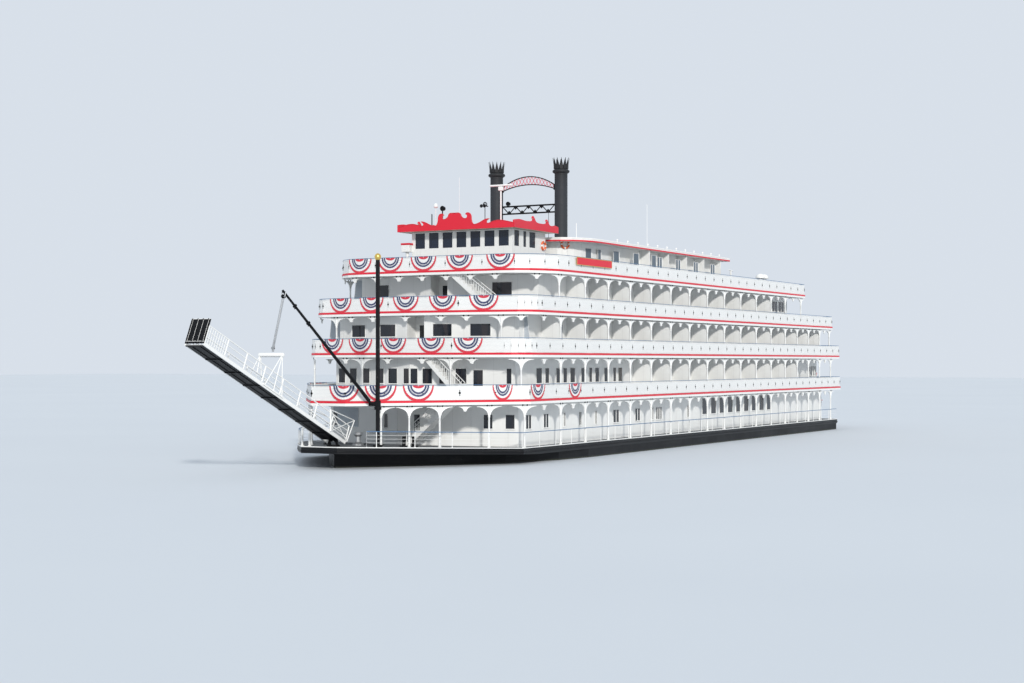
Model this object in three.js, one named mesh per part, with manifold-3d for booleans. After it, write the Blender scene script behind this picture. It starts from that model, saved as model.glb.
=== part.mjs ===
// A sternwheel paddle boat, as a 1:10 model.
// Every size below is in metres on the real boat. The outer group brings them to the model's millimetres.
// +X points to the bow, +Y to port and +Z up.
// The origin is on the hull's flat bottom, on the centreline amidships.
import * as THREE from "three";
import { mergeVertices } from "three/addons/utils/BufferGeometryUtils.js";
import Module from "manifold-3d";

const wasm = await Module();
wasm.setup();

const MODEL_MM_PER_METRE = 100;
const GAP = 0.003; // left between two pieces that touch

// Hull and decks
const HALF_BEAM = 9.4;
const HULL_HALF_BEAM = 9.3;
const STERN_X = -40.3;
const MAIN_DECK_TOP = 3.1;
const MAIN_DECK_THICK = 0.45;
const SHEER_START_X = 26; // forward of this the main deck rises to the bow
const SHEER_SLOPE = 0.0308;
const DECK_THICK = 0.3;
const DECK_TOPS = { 2: 6.46, 3: 9.7, 4: 12.7, 5: 15.7 };
const TOP_ROOF = { top: 18.65, thick: 0.28, front: 15.2, cornerY: 4.5, cornerX: 11.5, half: 7.0, aft: -16.0 };
const HULL_TOP = MAIN_DECK_TOP - MAIN_DECK_THICK - GAP;

// Columns, headers and rails stand this far in from the edge of their deck
const RAIL_INSET = 0.03;
const RAIL_THICK = 0.06;
const RAIL_HEIGHT = 1.07;
const HEADER_INSET = 0.12;
const HEADER_THICK = 0.12;
const HEADER_DEPTH = 0.14;
const COLUMN_INSET = 0.2;
const COLUMN_WIDTH = 0.18;
const COLUMN_THICK = 0.12;
const ARM_REACH = 0.85; // arched brackets at a column's head
const ARM_DROP = 0.6;
const ARM_BEND = { out: 0.165, down: 0.45 }; // where a bracket's curve bends, as shares of its reach and drop

// Column stations along the side: long bays, then short ones to the stern
const FIRST_STATION = 22.3;
const LONG_BAYS = 12;
const LONG_BAY = 3.93;
const SHORT_BAYS = 4;
const SHORT_BAY = 3.43;
const STATIONS = [];
for (let bay = 0; bay <= LONG_BAYS + SHORT_BAYS; bay += 1) {
  const long = Math.min(bay, LONG_BAYS);
  STATIONS.push(FIRST_STATION - long * LONG_BAY - (bay - long) * SHORT_BAY);
}

// Houses
const HOUSE_HALF = 7.65;
const MAIN_HOUSE_HALF = 8.0;
const TOP_HOUSE = { front: 14.4, sag: 0.3, cornerY: 4.0, cornerX: 11.3, aft: -15.6, half: 5.9 };
const FINS = { first: 1.6, count: 5 }; // between the doors of the top house
const PARTITION_THICK = 0.08;

// Pilothouse
const PILOT = { front: 20.8, back: 15.6, half: 4.4, wall: 0.12, top: 18.95, sill: 17.7, head: 18.87 };
const PILOT_WINDOWS = {
  front: { count: 7, pitch: 1.22, half: 0.43 },
  side: [[19.75, 20.5], [18.65, 19.1], [17.2, 18.15]],
  back: { y: 2.4, half: 0.6 },
};
const PILOT_ROOF = { front: 21.8, back: 14.7, half: 5.1, thick: 0.25, crest: 0.12 };

// Chimneys
const CHIMNEY = { x: 10.2, y: 2.96, radius: 0.52, ringRadius: 0.675, ringZ: 24.3, spikes: 8, tip: 25.4 };
const ARCH = { end: 23.25, apex: 24.1, lowerEnd: 23.0, lowerApex: 23.45, thick: 0.1 };
const TRUSS = { low: 21.1, high: 21.7, bar: 0.08, bays: 6 };

// Mast and boom
const MAST = { x: 36.5, y: 2.95, radius: 0.14, top: 15.9 };
const BOOM_PIN = { out: 0.5, z: 6.3 };
const BOOM_TIP = { x: 43.2, y: 0.3, z: 13.5 };
const FORK = { out: 0.21, bar: 0.03, drop: 0.3 }; // the hoist wire's fork over the axle at the boom's tip
const AXLE_REACH = FORK.out - FORK.bar - GAP;
const CABLE_FOOT = { x: 44.0, y: 0.03, z: 9.72 };

// Stage
const STAGE_PIN = { x: 37.4, z: 3.88 };
const STAGE_TILT = THREE.MathUtils.degToRad(24);
const STAGE = {
  start: -0.38, length: 15.4, half: 0.74, floor: -0.04, stringer: 0.12, railHeight: 1.17, panels: 8,
};
const PORTAL = { feet: [7.8, 8.33, 8.85], bar: 8.42, height: 2.45, barHalf: 0.95, headY: 0.85 };
const FLAP = { length: 1.6, pinOut: 0.043, pinUp: 0.04, pin: 0.04 };

// Stern wheel and rudders
const WHEEL = {
  x: -45.2, z: 4.7, radius: 3.6, half: 5.0, arms: 12, armHalf: 0.08, bucket: 0.75, shaft: 0.25,
  frames: [-4.6, 0, 4.6], frameThick: 0.14,
};
const BEAM = { y: 5.6, half: 0.25 };
const RUDDER = { x: -40.85, y: 3.2, stock: 0.12 };

// Fittings on the foredeck
const CAPSTAN_X = 34.5;
const BITTS = { x: 33.4, y: 3.4, heading: -0.64 };

// Finishes
function finish(color, roughness, metalness) {
  return new THREE.MeshStandardMaterial({ color, roughness, metalness });
}

const WHITE = finish(0xf2f1ee, 0.45, 0);
const BLACK = finish(0x17181a, 0.5, 0.1);
const RED = finish(0xc8232f, 0.45, 0);
const DECK_GREY = finish(0x6f7377, 0.7, 0);
const CHARCOAL = finish(0x34373b, 0.55, 0.2);
const STEEL = finish(0x9a9da0, 0.4, 0.8);
const WHEEL_RED = finish(0xb3202c, 0.5, 0);
const TIMBER = finish(0x5b5f63, 0.6, 0.1);

// Shapes

// Joins vertices that lie together and drops the triangles that this leaves with no area.
function welded(geometry) {
  const bare = geometry.clone();
  bare.deleteAttribute("normal");
  bare.deleteAttribute("uv");
  const merged = mergeVertices(bare, 1e-5);
  const index = merged.index.array;
  const kept = [];
  for (let i = 0; i < index.length; i += 3) {
    const [a, b, c] = [index[i], index[i + 1], index[i + 2]];
    if (a !== b && b !== c && c !== a) {
      kept.push(a, b, c);
    }
  }
  merged.setIndex(kept);
  return merged;
}

function toSolid(geometry) {
  const mesh = welded(geometry);
  return new wasm.Manifold(new wasm.Mesh({
    numProp: 3,
    vertProperties: new Float32Array(mesh.attributes.position.array),
    triVerts: new Uint32Array(mesh.index.array),
  }));
}

function fromSolid(solid) {
  const mesh = solid.getMesh();
  const geometry = new THREE.BufferGeometry();
  geometry.setAttribute("position", new THREE.BufferAttribute(new Float32Array(mesh.vertProperties), 3));
  geometry.setIndex(Array.from(mesh.triVerts));
  return geometry;
}

function join(...geometries) {
  return fromSolid(geometries.map(toSolid).reduce((whole, piece) => whole.add(piece)));
}

function cut(geometry, ...tools) {
  return fromSolid(tools.map(toSolid).reduce((whole, tool) => whole.subtract(tool), toSolid(geometry)));
}

function common(first, second) {
  return fromSolid(toSolid(first).intersect(toSolid(second)));
}

function box(x0, x1, y0, y1, z0, z1) {
  const geometry = new THREE.BoxGeometry(x1 - x0, y1 - y0, z1 - z0);
  return geometry.translate((x0 + x1) / 2, (y0 + y1) / 2, (z0 + z1) / 2);
}

// Extrudes a flat outline with `axes` as the directions of its first, second and extruded axis.
function prism(points, depth, axes, holes = []) {
  const shape = new THREE.Shape(points.map(([u, v]) => new THREE.Vector2(u, v)));
  for (const hole of holes) {
    shape.holes.push(new THREE.Path(hole.map(([u, v]) => new THREE.Vector2(u, v))));
  }
  const geometry = new THREE.ExtrudeGeometry(shape, { depth, bevelEnabled: false });
  const [u, v, w] = axes.map((axis) => new THREE.Vector3(...axis));
  return geometry.applyMatrix4(new THREE.Matrix4().makeBasis(u, v, w));
}

const PLAN = [[1, 0, 0], [0, 1, 0], [0, 0, 1]];
const SIDE = [[1, 0, 0], [0, 0, 1], [0, -1, 0]];
const END = [[0, 1, 0], [0, 0, 1], [1, 0, 0]];

// An outline seen from above, from height z0 up to z1.
function planPlate(points, z0, z1, holes = []) {
  return prism(points, z1 - z0, PLAN, holes).translate(0, 0, z0);
}

// An outline of x and z, from y0 to y1.
function sidePlate(points, y0, y1) {
  return prism(points, y1 - y0, SIDE).translate(0, y1, 0);
}

// An outline of y and z, from x0 to x1.
function endPlate(points, x0, x1) {
  return prism(points, x1 - x0, END).translate(x0, 0, 0);
}

// A round bar from one point to another, with its radius at each end.
function bar(from, to, radius, sides = 6, endRadius = radius) {
  const a = new THREE.Vector3(...from);
  const b = new THREE.Vector3(...to);
  const along = b.clone().sub(a);
  const upright = new THREE.Vector3(0, 1, 0);
  const geometry = new THREE.CylinderGeometry(endRadius, radius, along.length(), sides);
  const turn = new THREE.Quaternion().setFromUnitVectors(upright, along.clone().normalize());
  return geometry.applyQuaternion(turn).translate(...a.add(b).multiplyScalar(0.5).toArray());
}

// A profile of radii and heights, turned about the Z axis.
function lathe(profile) {
  const points = profile.map(([radius, z]) => new THREE.Vector2(radius, z));
  return new THREE.LatheGeometry(points, 14).rotateX(Math.PI / 2);
}

// The same piece on the other side of the centreline.
function mirrored(geometry) {
  const copy = welded(geometry).scale(1, -1, 1);
  const index = copy.index.array;
  for (let i = 0; i < index.length; i += 3) {
    [index[i], index[i + 1]] = [index[i + 1], index[i]];
  }
  return copy;
}

function turned(geometry, angle, x, y) {
  return geometry.rotateZ(angle).translate(x, y, 0);
}

// Outlines

// The port half of a deck, from the bow's centreline round to the stern's.
// An outline bulges by `bulge` between the nose and the shoulder.
function veeHalf({ nose, noseHalf, shoulder, bulge, aft }) {
  const points = [[nose, 0], [nose, noseHalf]];
  const steps = 5;
  const run = [shoulder - nose, HALF_BEAM - noseHalf];
  const length = Math.hypot(...run);
  for (let step = 1; step < steps; step += 1) {
    const t = step / steps;
    const out = bulge * Math.sin(Math.PI * t);
    const x = nose + run[0] * t + (run[1] / length) * out;
    points.push([x, noseHalf + run[1] * t - (run[0] / length) * out]);
  }
  points.push([shoulder, HALF_BEAM], [aft, HALF_BEAM], [aft, 0]);
  return points;
}

// A deck with a slightly bowed front and elliptical corners.
function roundHalf({ front, sag, cornerY, cornerX, aft, half = HALF_BEAM }) {
  const points = [[front, 0], [front - sag / 4, cornerY / 2]];
  const steps = 5;
  const startX = front - sag;
  for (let step = 0; step <= steps; step += 1) {
    const angle = (Math.PI / 2) * (step / steps);
    const x = cornerX + (startX - cornerX) * Math.cos(angle);
    points.push([x, cornerY + (half - cornerY) * Math.sin(angle)]);
  }
  points.push([aft, half], [aft, 0]);
  return points;
}

// The outline's port half moved in by `inset`, its ends still on the centreline.
function insetHalf(points, inset) {
  const normals = [];
  for (let i = 0; i + 1 < points.length; i += 1) {
    const [dx, dy] = [points[i + 1][0] - points[i][0], points[i + 1][1] - points[i][1]];
    const length = Math.hypot(dx, dy);
    normals.push([-dy / length, dx / length]);
  }
  return points.map(([x, y], i) => {
    const before = normals[Math.max(0, i - 1)];
    const after = normals[Math.min(normals.length - 1, i)];
    const sum = [before[0] + after[0], before[1] + after[1]];
    const reach = (2 * inset) / (sum[0] * sum[0] + sum[1] * sum[1]);
    return [x + sum[0] * reach, y === 0 ? 0 : y + sum[1] * reach];
  });
}

// Both halves of an outline. A centreline point is kept only where it is a corner.
function wholeOutline(half) {
  const port = half.filter(([x, y], i) => y > 0 || x !== half[i === 0 ? 1 : i - 1][0]);
  const starboard = port.filter(([, y]) => y > 0).reverse().map(([x, y]) => [x, -y]);
  return [...port, ...starboard];
}

// A strip that follows the port half of an outline, between two insets.
function halfStrip(half, inset, thick) {
  const outer = insetHalf(half, inset);
  const inner = insetHalf(half, inset + thick);
  return [...outer, ...inner.reverse()].map(([x, y]) => [x, Math.max(y, GAP / 2)]);
}

function ringPlate(half, inset, thick, z0, z1) {
  const outer = wholeOutline(insetHalf(half, inset));
  const inner = wholeOutline(insetHalf(half, inset + thick));
  return planPlate(outer, z0, z1, [inner]);
}

const MAIN_HALF = veeHalf({ nose: 39.0, noseHalf: 1.45, shoulder: 28.2, bulge: 0.25, aft: STERN_X });
const DECK_HALVES = {
  2: veeHalf({ nose: 38.0, noseHalf: 1.4, shoulder: 27.2, bulge: 0.25, aft: -41.4 }),
  3: roundHalf({ front: 28.9, sag: 0.8, cornerY: 7.8, cornerX: 26.2, aft: -41.0 }),
  4: roundHalf({ front: 28.0, sag: 0.85, cornerY: 7.8, cornerX: 25.4, aft: -38.7 }),
  5: roundHalf({ front: 25.7, sag: 0.1, cornerY: 6.1, cornerX: 21.3, aft: -30.1 }),
};
const TOP_ROOF_HALF = roundHalf({ ...TOP_ROOF, sag: 0.3 });

function mainDeckAt(x) {
  return MAIN_DECK_TOP + Math.max(0, x - SHEER_START_X) * SHEER_SLOPE;
}

// Lifts what is drawn on a level main deck by the sheer under each of its points.
function onSheer(geometry) {
  const place = geometry.attributes.position;
  for (let i = 0; i < place.count; i += 1) {
    place.setZ(i, place.getZ(i) + mainDeckAt(place.getX(i)) - MAIN_DECK_TOP);
  }
  return geometry;
}

// Scene graph

const boat = new THREE.Group();
boat.scale.setScalar(MODEL_MM_PER_METRE);

function add(name, geometry, material, parent = boat) {
  const mesh = new THREE.Mesh(welded(geometry), material);
  mesh.name = name;
  parent.add(mesh);
  return mesh;
}

function addBothSides(name, geometry, material) {
  add(`${name}_port`, geometry, material);
  add(`${name}_starboard`, mirrored(geometry), material);
}

// Hull

function hull() {
  const sternRise = 1.6;
  const half = [[37.3, 0], [34.3, 2.45], [31.0, 4.9], [27.0, 7.3], [22.0, 8.9], [18.0, HULL_HALF_BEAM],
    [STERN_X, HULL_HALF_BEAM], [STERN_X, 0]];
  const plan = planPlate(wholeOutline(half), 0, HULL_TOP + 1);
  const bowTop = HULL_TOP + (half[0][0] - SHEER_START_X) * SHEER_SLOPE;
  const profile = [[STERN_X, sternRise], [-31, 0], [30.5, 0], [34.6, 0.5], [36.6, 1.4], [37.4, 2.3],
    [37.4, bowTop + 0.1 * SHEER_SLOPE], [SHEER_START_X, HULL_TOP], [STERN_X, HULL_TOP]];
  const body = common(plan, sidePlate(profile, -HALF_BEAM, HALF_BEAM));
  const lugs = [];
  for (const side of [-1, 1]) {
    for (const [z0, z1] of [[1.62, 1.8], [2.35, 2.55]]) {
      const y = side * RUDDER.y;
      lugs.push(box(STERN_X - 0.75, STERN_X + 0.1, y - 0.2, y + 0.2, z0, z1));
    }
  }
  const boreRadius = (RUDDER.stock + GAP) / Math.cos(Math.PI / 12);
  const bores = [-1, 1].map((side) => {
    const y = side * RUDDER.y;
    return bar([RUDDER.x, y, 1.61], [RUDDER.x, y, 2.6], boreRadius, 12);
  });
  return cut(join(body, ...lugs), ...bores);
}

// The main deck is level from the stern to where the sheer starts.
function mainDeck() {
  const level = box(STERN_X - 1, SHEER_START_X, -HALF_BEAM - 1, HALF_BEAM + 1, 0, MAIN_DECK_TOP + 1);
  const low = MAIN_DECK_TOP - MAIN_DECK_THICK;
  return common(planPlate(wholeOutline(MAIN_HALF), low, MAIN_DECK_TOP), level);
}

// From there its forward piece rises to the bow in one slope.
function foreDeck() {
  const plan = planPlate(wholeOutline(MAIN_HALF), MAIN_DECK_TOP - 1, MAIN_DECK_TOP + 1);
  const [start, nose] = [SHEER_START_X + GAP, 40];
  const profile = [[start, mainDeckAt(start) - MAIN_DECK_THICK], [nose, mainDeckAt(nose) - MAIN_DECK_THICK],
    [nose, mainDeckAt(nose)], [start, mainDeckAt(start)]];
  return common(plan, sidePlate(profile, -HALF_BEAM - 1, HALF_BEAM + 1));
}

// Stairs climb athwart the boat on the port side, each through a hatch in the deck above.
const STAIRS = [
  // name, level of its foot, x of its middle, half its width, y of its foot, y of its head
  { name: "stair_main", from: 1, x: 30.6, half: 0.42, footY: 1.5, headY: 5.3 },
  { name: "stair_2", from: 2, x: 28.08, half: 0.34, footY: 4.6, headY: 1.3 },
  { name: "stair_4", from: 4, x: 25.0, half: 0.42, footY: 5.4, headY: 1.7 },
];
const STAIR = { steps: 12, margin: 0.08, hatchRun: 2.4, waist: 0.3 };

function deckTop(level, x) {
  return level === 1 ? mainDeckAt(x) : DECK_TOPS[level];
}

function hatch(stair) {
  const way = Math.sign(stair.headY - stair.footY);
  const ends = [stair.headY + way * 0.05, stair.headY - way * STAIR.hatchRun];
  const reach = stair.half + STAIR.margin;
  return box(stair.x - reach, stair.x + reach, Math.min(...ends), Math.max(...ends), 0, 20);
}

function deckPlate(level) {
  const plate = planPlate(wholeOutline(DECK_HALVES[level]), DECK_TOPS[level] - DECK_THICK, DECK_TOPS[level]);
  const stair = STAIRS.find(({ from }) => from + 1 === level);
  return stair ? cut(plate, hatch(stair)) : plate;
}

function stairFlight(stair) {
  const foot = deckTop(stair.from, stair.x) + GAP + stair.half * SHEER_SLOPE * (stair.from === 1 ? 1 : 0);
  const head = DECK_TOPS[stair.from + 1];
  const rise = (head - foot) / STAIR.steps;
  const going = (stair.headY - stair.footY) / STAIR.steps;
  const points = [];
  for (let step = 0; step < STAIR.steps; step += 1) {
    points.push([stair.footY + going * step, foot + rise * step]);
    points.push([stair.footY + going * step, foot + rise * (step + 1)]);
  }
  points.push([stair.headY, head], [stair.headY, head - STAIR.waist]);
  points.push([stair.footY + going * 1.2, foot]);
  const flight = endPlate(points, stair.x - stair.half, stair.x + stair.half);
  const rails = [];
  for (const side of [-1, 1]) {
    const x = stair.x + side * (stair.half - 0.04);
    const low = [x, stair.footY + going * 0.5, foot + rise];
    const high = [x, stair.headY - going * 0.5, head - rise];
    rails.push(bar([x, low[1], low[2] - 0.1], [x, low[1], low[2] + 0.9], 0.03, 4));
    rails.push(bar([x, high[1], high[2] - 0.1], [x, high[1], high[2] + 0.9], 0.03, 4));
    rails.push(bar([x, low[1], low[2] + 0.88], [x, high[1], high[2] + 0.88], 0.03, 4));
  }
  return join(flight, ...rails);
}

// Houses

// The front is a shallow vee, with an alcove for a door where `alcove` gives one.
function houseHalf({ apex, shoulder, half, aft, alcove = 0, alcoveDepth = 1.2 }) {
  const back = apex - alcoveDepth;
  const front = alcove === 0 ? [[apex, 0]] : [[back, 0], [back, alcove], [apex, alcove]];
  return [...front, [shoulder, half], [aft, half], [aft, 0]];
}

const HOUSES = {
  1: { apex: 29.6, shoulder: 26.4, half: MAIN_HOUSE_HALF, aft: -39.3 },
  2: { apex: 28.0, shoulder: 26.2, half: HOUSE_HALF, aft: -38.8 },
  3: { apex: 27.2, shoulder: 25.7, half: HOUSE_HALF, aft: -38.0, alcove: 0.72 },
  4: { apex: 24.0, shoulder: 22.8, half: HOUSE_HALF, aft: -29.7, alcove: 0.72 },
};

function house(level) {
  const outline = wholeOutline(houseHalf(HOUSES[level]));
  const low = deckTop(level, 0) + GAP;
  const high = DECK_TOPS[level + 1] - DECK_THICK - GAP;
  if (level > 1) {
    return planPlate(outline, low, high);
  }
  const [sternward, forward] = [-50, 40];
  const rise = (forward - SHEER_START_X) * SHEER_SLOPE;
  const profile = [
    [sternward, low], [SHEER_START_X, low], [forward, low + rise], [forward, high], [sternward, high],
  ];
  return common(planPlate(outline, low - 1, high), sidePlate(profile, -HALF_BEAM, HALF_BEAM));
}

// The house on the top deck, with a fin between each two of its doors.
function topHouse() {
  const low = DECK_TOPS[5] + GAP;
  const high = TOP_ROOF.top - TOP_ROOF.thick - GAP;
  const body = planPlate(wholeOutline(roundHalf(TOP_HOUSE)), low, high);
  const finEnd = TOP_ROOF.half - 0.15;
  const fins = [];
  for (let bay = 0; bay < FINS.count; bay += 1) {
    const x = FINS.first - bay * LONG_BAY;
    fins.push(box(x - PARTITION_THICK / 2, x + PARTITION_THICK / 2, -finEnd, finEnd, low, high));
  }
  return join(body, ...fins);
}

// White partitions between the cabins' verandas, carried by a rail along the head of the house wall.
const PARTITIONS = {
  2: { from: 6.6, to: -29 },
  3: { from: 22.3, to: -36 },
  4: { from: 18.4, to: -24 },
};

function partitions(level) {
  const inner = HOUSE_HALF + GAP;
  const outer = HALF_BEAM - COLUMN_INSET - COLUMN_THICK / 2 - GAP;
  const low = DECK_TOPS[level] + GAP;
  const high = DECK_TOPS[level + 1] - DECK_THICK - GAP;
  const { from, to } = PARTITIONS[level];
  const stations = STATIONS.filter((x) => x <= from + 0.1 && x >= to - 0.1);
  const half = PARTITION_THICK / 2;
  const rail = box(stations.at(-1) - half, stations[0] + half, inner, inner + 0.1, high - 0.15, high);
  return join(rail, ...stations.map((x) => box(x - half, x + half, inner, outer, low, high)));
}

// Columns under a deck edge, with arched brackets, hung from one header.

// One column and its brackets as part of a comb's lower edge, from its fore side to its aft side.
function columnOutline(x, foot, under) {
  const half = COLUMN_WIDTH / 2;
  const side = (way) => [
    [x + way * (half + ARM_REACH), under],
    [x + way * (half + ARM_REACH * ARM_BEND.out), under - ARM_DROP * ARM_BEND.down],
    [x + way * half, under - ARM_DROP],
    [x + way * half, foot],
  ];
  return [...side(1), ...side(-1).reverse()];
}

// Columns forward of the even stations.
// `across` gives each its y on the deck's front, `along` its x further back.
const COLUMNS = {
  1: { across: [], along: [35.95, 34.41, 32.67, 29.68, 27.4], last: -38.7 },
  2: { across: [3.73], along: [27.4], last: -38.7 },
  3: { across: [7.0], along: [], last: -38.2 },
  4: { across: [], along: [], last: -29.4 },
};

// The place on an outline's port half that has the given x or y, and the angle of the outline there.
function onEdge(line, axis, value) {
  for (let i = 0; i + 1 < line.length; i += 1) {
    const [a, b] = [line[i], line[i + 1]];
    const t = (value - a[axis]) / (b[axis] - a[axis]);
    if (Number.isFinite(t) && t >= 0 && t <= 1) {
      return [a[0] + (b[0] - a[0]) * t, a[1] + (b[1] - a[1]) * t, Math.atan2(a[1] - b[1], a[0] - b[0])];
    }
  }
  throw new Error(`no place on the edge at ${value}`);
}

function colonnade(level) {
  const above = DECK_HALVES[level + 1];
  const top = DECK_TOPS[level + 1] - DECK_THICK - GAP;
  const under = top - HEADER_DEPTH;
  const { across, along, last } = COLUMNS[level];
  const footAt = (x) => (level === 1 ? mainDeckAt(x + COLUMN_WIDTH) : DECK_TOPS[level]) + GAP;
  const [[straightStart], [aft]] = above.slice(-3, -1);
  const reach = COLUMN_WIDTH / 2 + ARM_REACH;
  const stations = STATIONS.filter((x) => x >= last + 2 * reach);
  const isStraight = (x) => x + reach < straightStart - 0.05;
  const places = [...along, ...stations, last];

  // The straight side is one flat comb.
  const [fore, back] = [straightStart, aft + HEADER_INSET];
  const comb = [[back, under], [back, top], [fore, top], [fore, under]];
  comb.push(...places.filter(isStraight).flatMap((x) => columnOutline(x, footAt(x), under)));
  const middle = HALF_BEAM - COLUMN_INSET;
  const side = sidePlate(comb, middle - COLUMN_THICK / 2, middle + COLUMN_THICK / 2);

  // The header goes on round the front, with a column wherever one stands there, and across the stern.
  const frontHalf = [...above.slice(0, -2), [straightStart - 0.5, HALF_BEAM]];
  const header = planPlate(halfStrip(frontHalf, HEADER_INSET, HEADER_THICK), under, top);
  const stern = box(back, back + HEADER_THICK, GAP / 2, middle, under, top);
  const line = insetHalf(above, COLUMN_INSET);
  const frontPlaces = [
    ...across.map((y) => onEdge(line, 1, y)),
    ...places.filter((x) => !isStraight(x)).map((x) => onEdge(line, 0, x)),
  ];
  const columns = frontPlaces.map(([x, y, angle]) => {
    const shape = [...columnOutline(0, footAt(x), under), [-reach, under + 0.1], [reach, under + 0.1]];
    return turned(sidePlate(shape, -COLUMN_THICK / 2, COLUMN_THICK / 2), angle, x, y);
  });
  return join(side, header, stern, ...columns);
}

function deckRail(level) {
  const low = DECK_TOPS[level] + GAP;
  return ringPlate(DECK_HALVES[level], RAIL_INSET, RAIL_THICK, low, low + RAIL_HEIGHT);
}

// A rounded front's rail is a piece of its own: `forward` takes the part ahead of the straight sides.
function railPart(level, forward) {
  const [[straightStart]] = DECK_HALVES[level].slice(-3, -2);
  const [x0, x1] = forward ? [straightStart + GAP, 40] : [-50, straightStart];
  return common(deckRail(level), box(x0, x1, -HALF_BEAM - 1, HALF_BEAM + 1, 0, 20));
}

// The main deck has open rails: posts and two bars down each side, one flat frame for each straight stretch.
const MAIN_RAIL = { bars: [0.55, 1.05], bar: 0.06, thick: 0.06, start: 37.4, post: 0.08 };

function railFrame(length) {
  const { bars, bar: size, thick, post } = MAIN_RAIL;
  const panels = Math.max(1, Math.round(length / LONG_BAY));
  const pitch = (length - post) / panels;
  const openings = [];
  for (let panel = 0; panel < panels; panel += 1) {
    const [left, right] = [panel * pitch + post, (panel + 1) * pitch];
    bars.forEach((top, i) => {
      openings.push(box(left, right, -thick, thick, i === 0 ? -1 : bars[i - 1], top - size));
    });
  }
  return cut(box(0, length, -thick / 2, thick / 2, 0, bars.at(-1)), ...openings);
}

function mainRail() {
  const line = insetHalf(MAIN_HALF, 0.08).slice(1, -1);
  const [nose, next] = line;
  const t = (nose[0] - MAIN_RAIL.start) / (nose[0] - next[0]);
  const path = [[MAIN_RAIL.start, nose[1] + (next[1] - nose[1]) * t], ...line.slice(1)];
  const frames = [];
  for (let i = 0; i + 1 < path.length; i += 1) {
    const [[x0, y0], [x1, y1]] = [path[i], path[i + 1]];
    const angle = Math.atan2(y1 - y0, x1 - x0);
    frames.push(turned(railFrame(Math.hypot(x1 - x0, y1 - y0) + 0.03), angle, x0, y0));
  }
  return onSheer(join(...frames).translate(0, 0, MAIN_DECK_TOP + GAP));
}

// Pilothouse

function pilothouse() {
  const { front, back, half, wall, top, sill, head } = PILOT;
  const low = DECK_TOPS[5] + GAP;
  const inside = box(back + wall, front - wall, -half + wall, half - wall, low - 1, top + 1);
  const windows = [];
  const { front: ahead, side, back: behind } = PILOT_WINDOWS;
  for (let i = 0; i < ahead.count; i += 1) {
    const y = (i - (ahead.count - 1) / 2) * ahead.pitch;
    windows.push(box(front - 1, front + 1, y - ahead.half, y + ahead.half, sill, head));
  }
  for (const [x0, x1] of side) {
    windows.push(box(x0, x1, -half - 1, half + 1, sill, head));
  }
  for (const y of [-behind.y, behind.y]) {
    windows.push(box(back - 1, back + 1, y - behind.half, y + behind.half, sill, head));
  }
  return cut(box(back, front, -half, half, low, top), inside, ...windows);
}

// Half of the crest board's upper edge: distance from the middle, height above the roof.
const FRONT_CREST = [[0, 1.0], [0.45, 1.0], [0.66, 0.72], [0.92, 0.47], [1.05, 0.5], [1.18, 0.88],
  [1.54, 0.86], [1.62, 0.4], [1.85, 0.1], [2.4, 0.2], [2.9, 0.42], [3.15, 0.44], [3.2, 0.22],
  [3.6, 0.26], [4.2, 0.34], [5.1, 0.08]];
const SIDE_CREST = [[14.7, 0.3], [16.2, 0.3], [16.5, 0.62], [16.8, 0.6], [17.0, 0.35], [18.4, 0.35],
  [18.7, 0.7], [19.0, 0.66], [19.2, 0.38], [21.75, 0.38]];

function pilothouseRoof() {
  const { front, back, half, thick, crest } = PILOT_ROOF;
  const low = PILOT.top + GAP;
  const top = low + thick;
  const inner = top - 0.1;
  const right = FRONT_CREST.map(([y, h]) => [y, top + h]);
  const left = [...right].slice(1).reverse().map(([y, z]) => [-y, z]);
  const frontBoard = endPlate([...left, ...right, [half, inner], [-half, inner]], front - crest, front);
  const sideOutline = [...SIDE_CREST.map(([x, h]) => [x, top + h]), [21.75, inner], [back, inner]];
  const sides = [half, -half + crest].map((y) => sidePlate(sideOutline, y - crest, y));
  return join(box(back, front, -half, half, low, top), frontBoard, ...sides);
}

// Chimneys, the arch between them and the truss below it

function chimney() {
  const low = TOP_ROOF.top + GAP;
  const { radius, ringRadius, ringZ, tip, spikes } = CHIMNEY;
  const body = lathe([
    [0, low], [radius + 0.14, low], [radius + 0.14, low + 0.2], [radius, low + 0.3],
    [radius, ringZ - 0.12], [ringRadius, ringZ - 0.05], [ringRadius, ringZ + 0.1], [radius, ringZ + 0.15],
    [radius + 0.02, ringZ + 0.3], [ringRadius, tip - 0.6], [ringRadius - 0.1, tip - 0.6], [0, tip - 0.6],
  ]);
  const leaves = [];
  for (let i = 0; i < spikes; i += 1) {
    const angle = (2 * Math.PI * i) / spikes;
    const base = [ringRadius - 0.12, 0, tip - 0.75];
    const point = [ringRadius + 0.1, 0, tip];
    leaves.push(bar(base, point, 0.13, 3, 0.02).rotateZ(angle));
  }
  return join(body, ...leaves).translate(CHIMNEY.x, CHIMNEY.y, 0);
}

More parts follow.
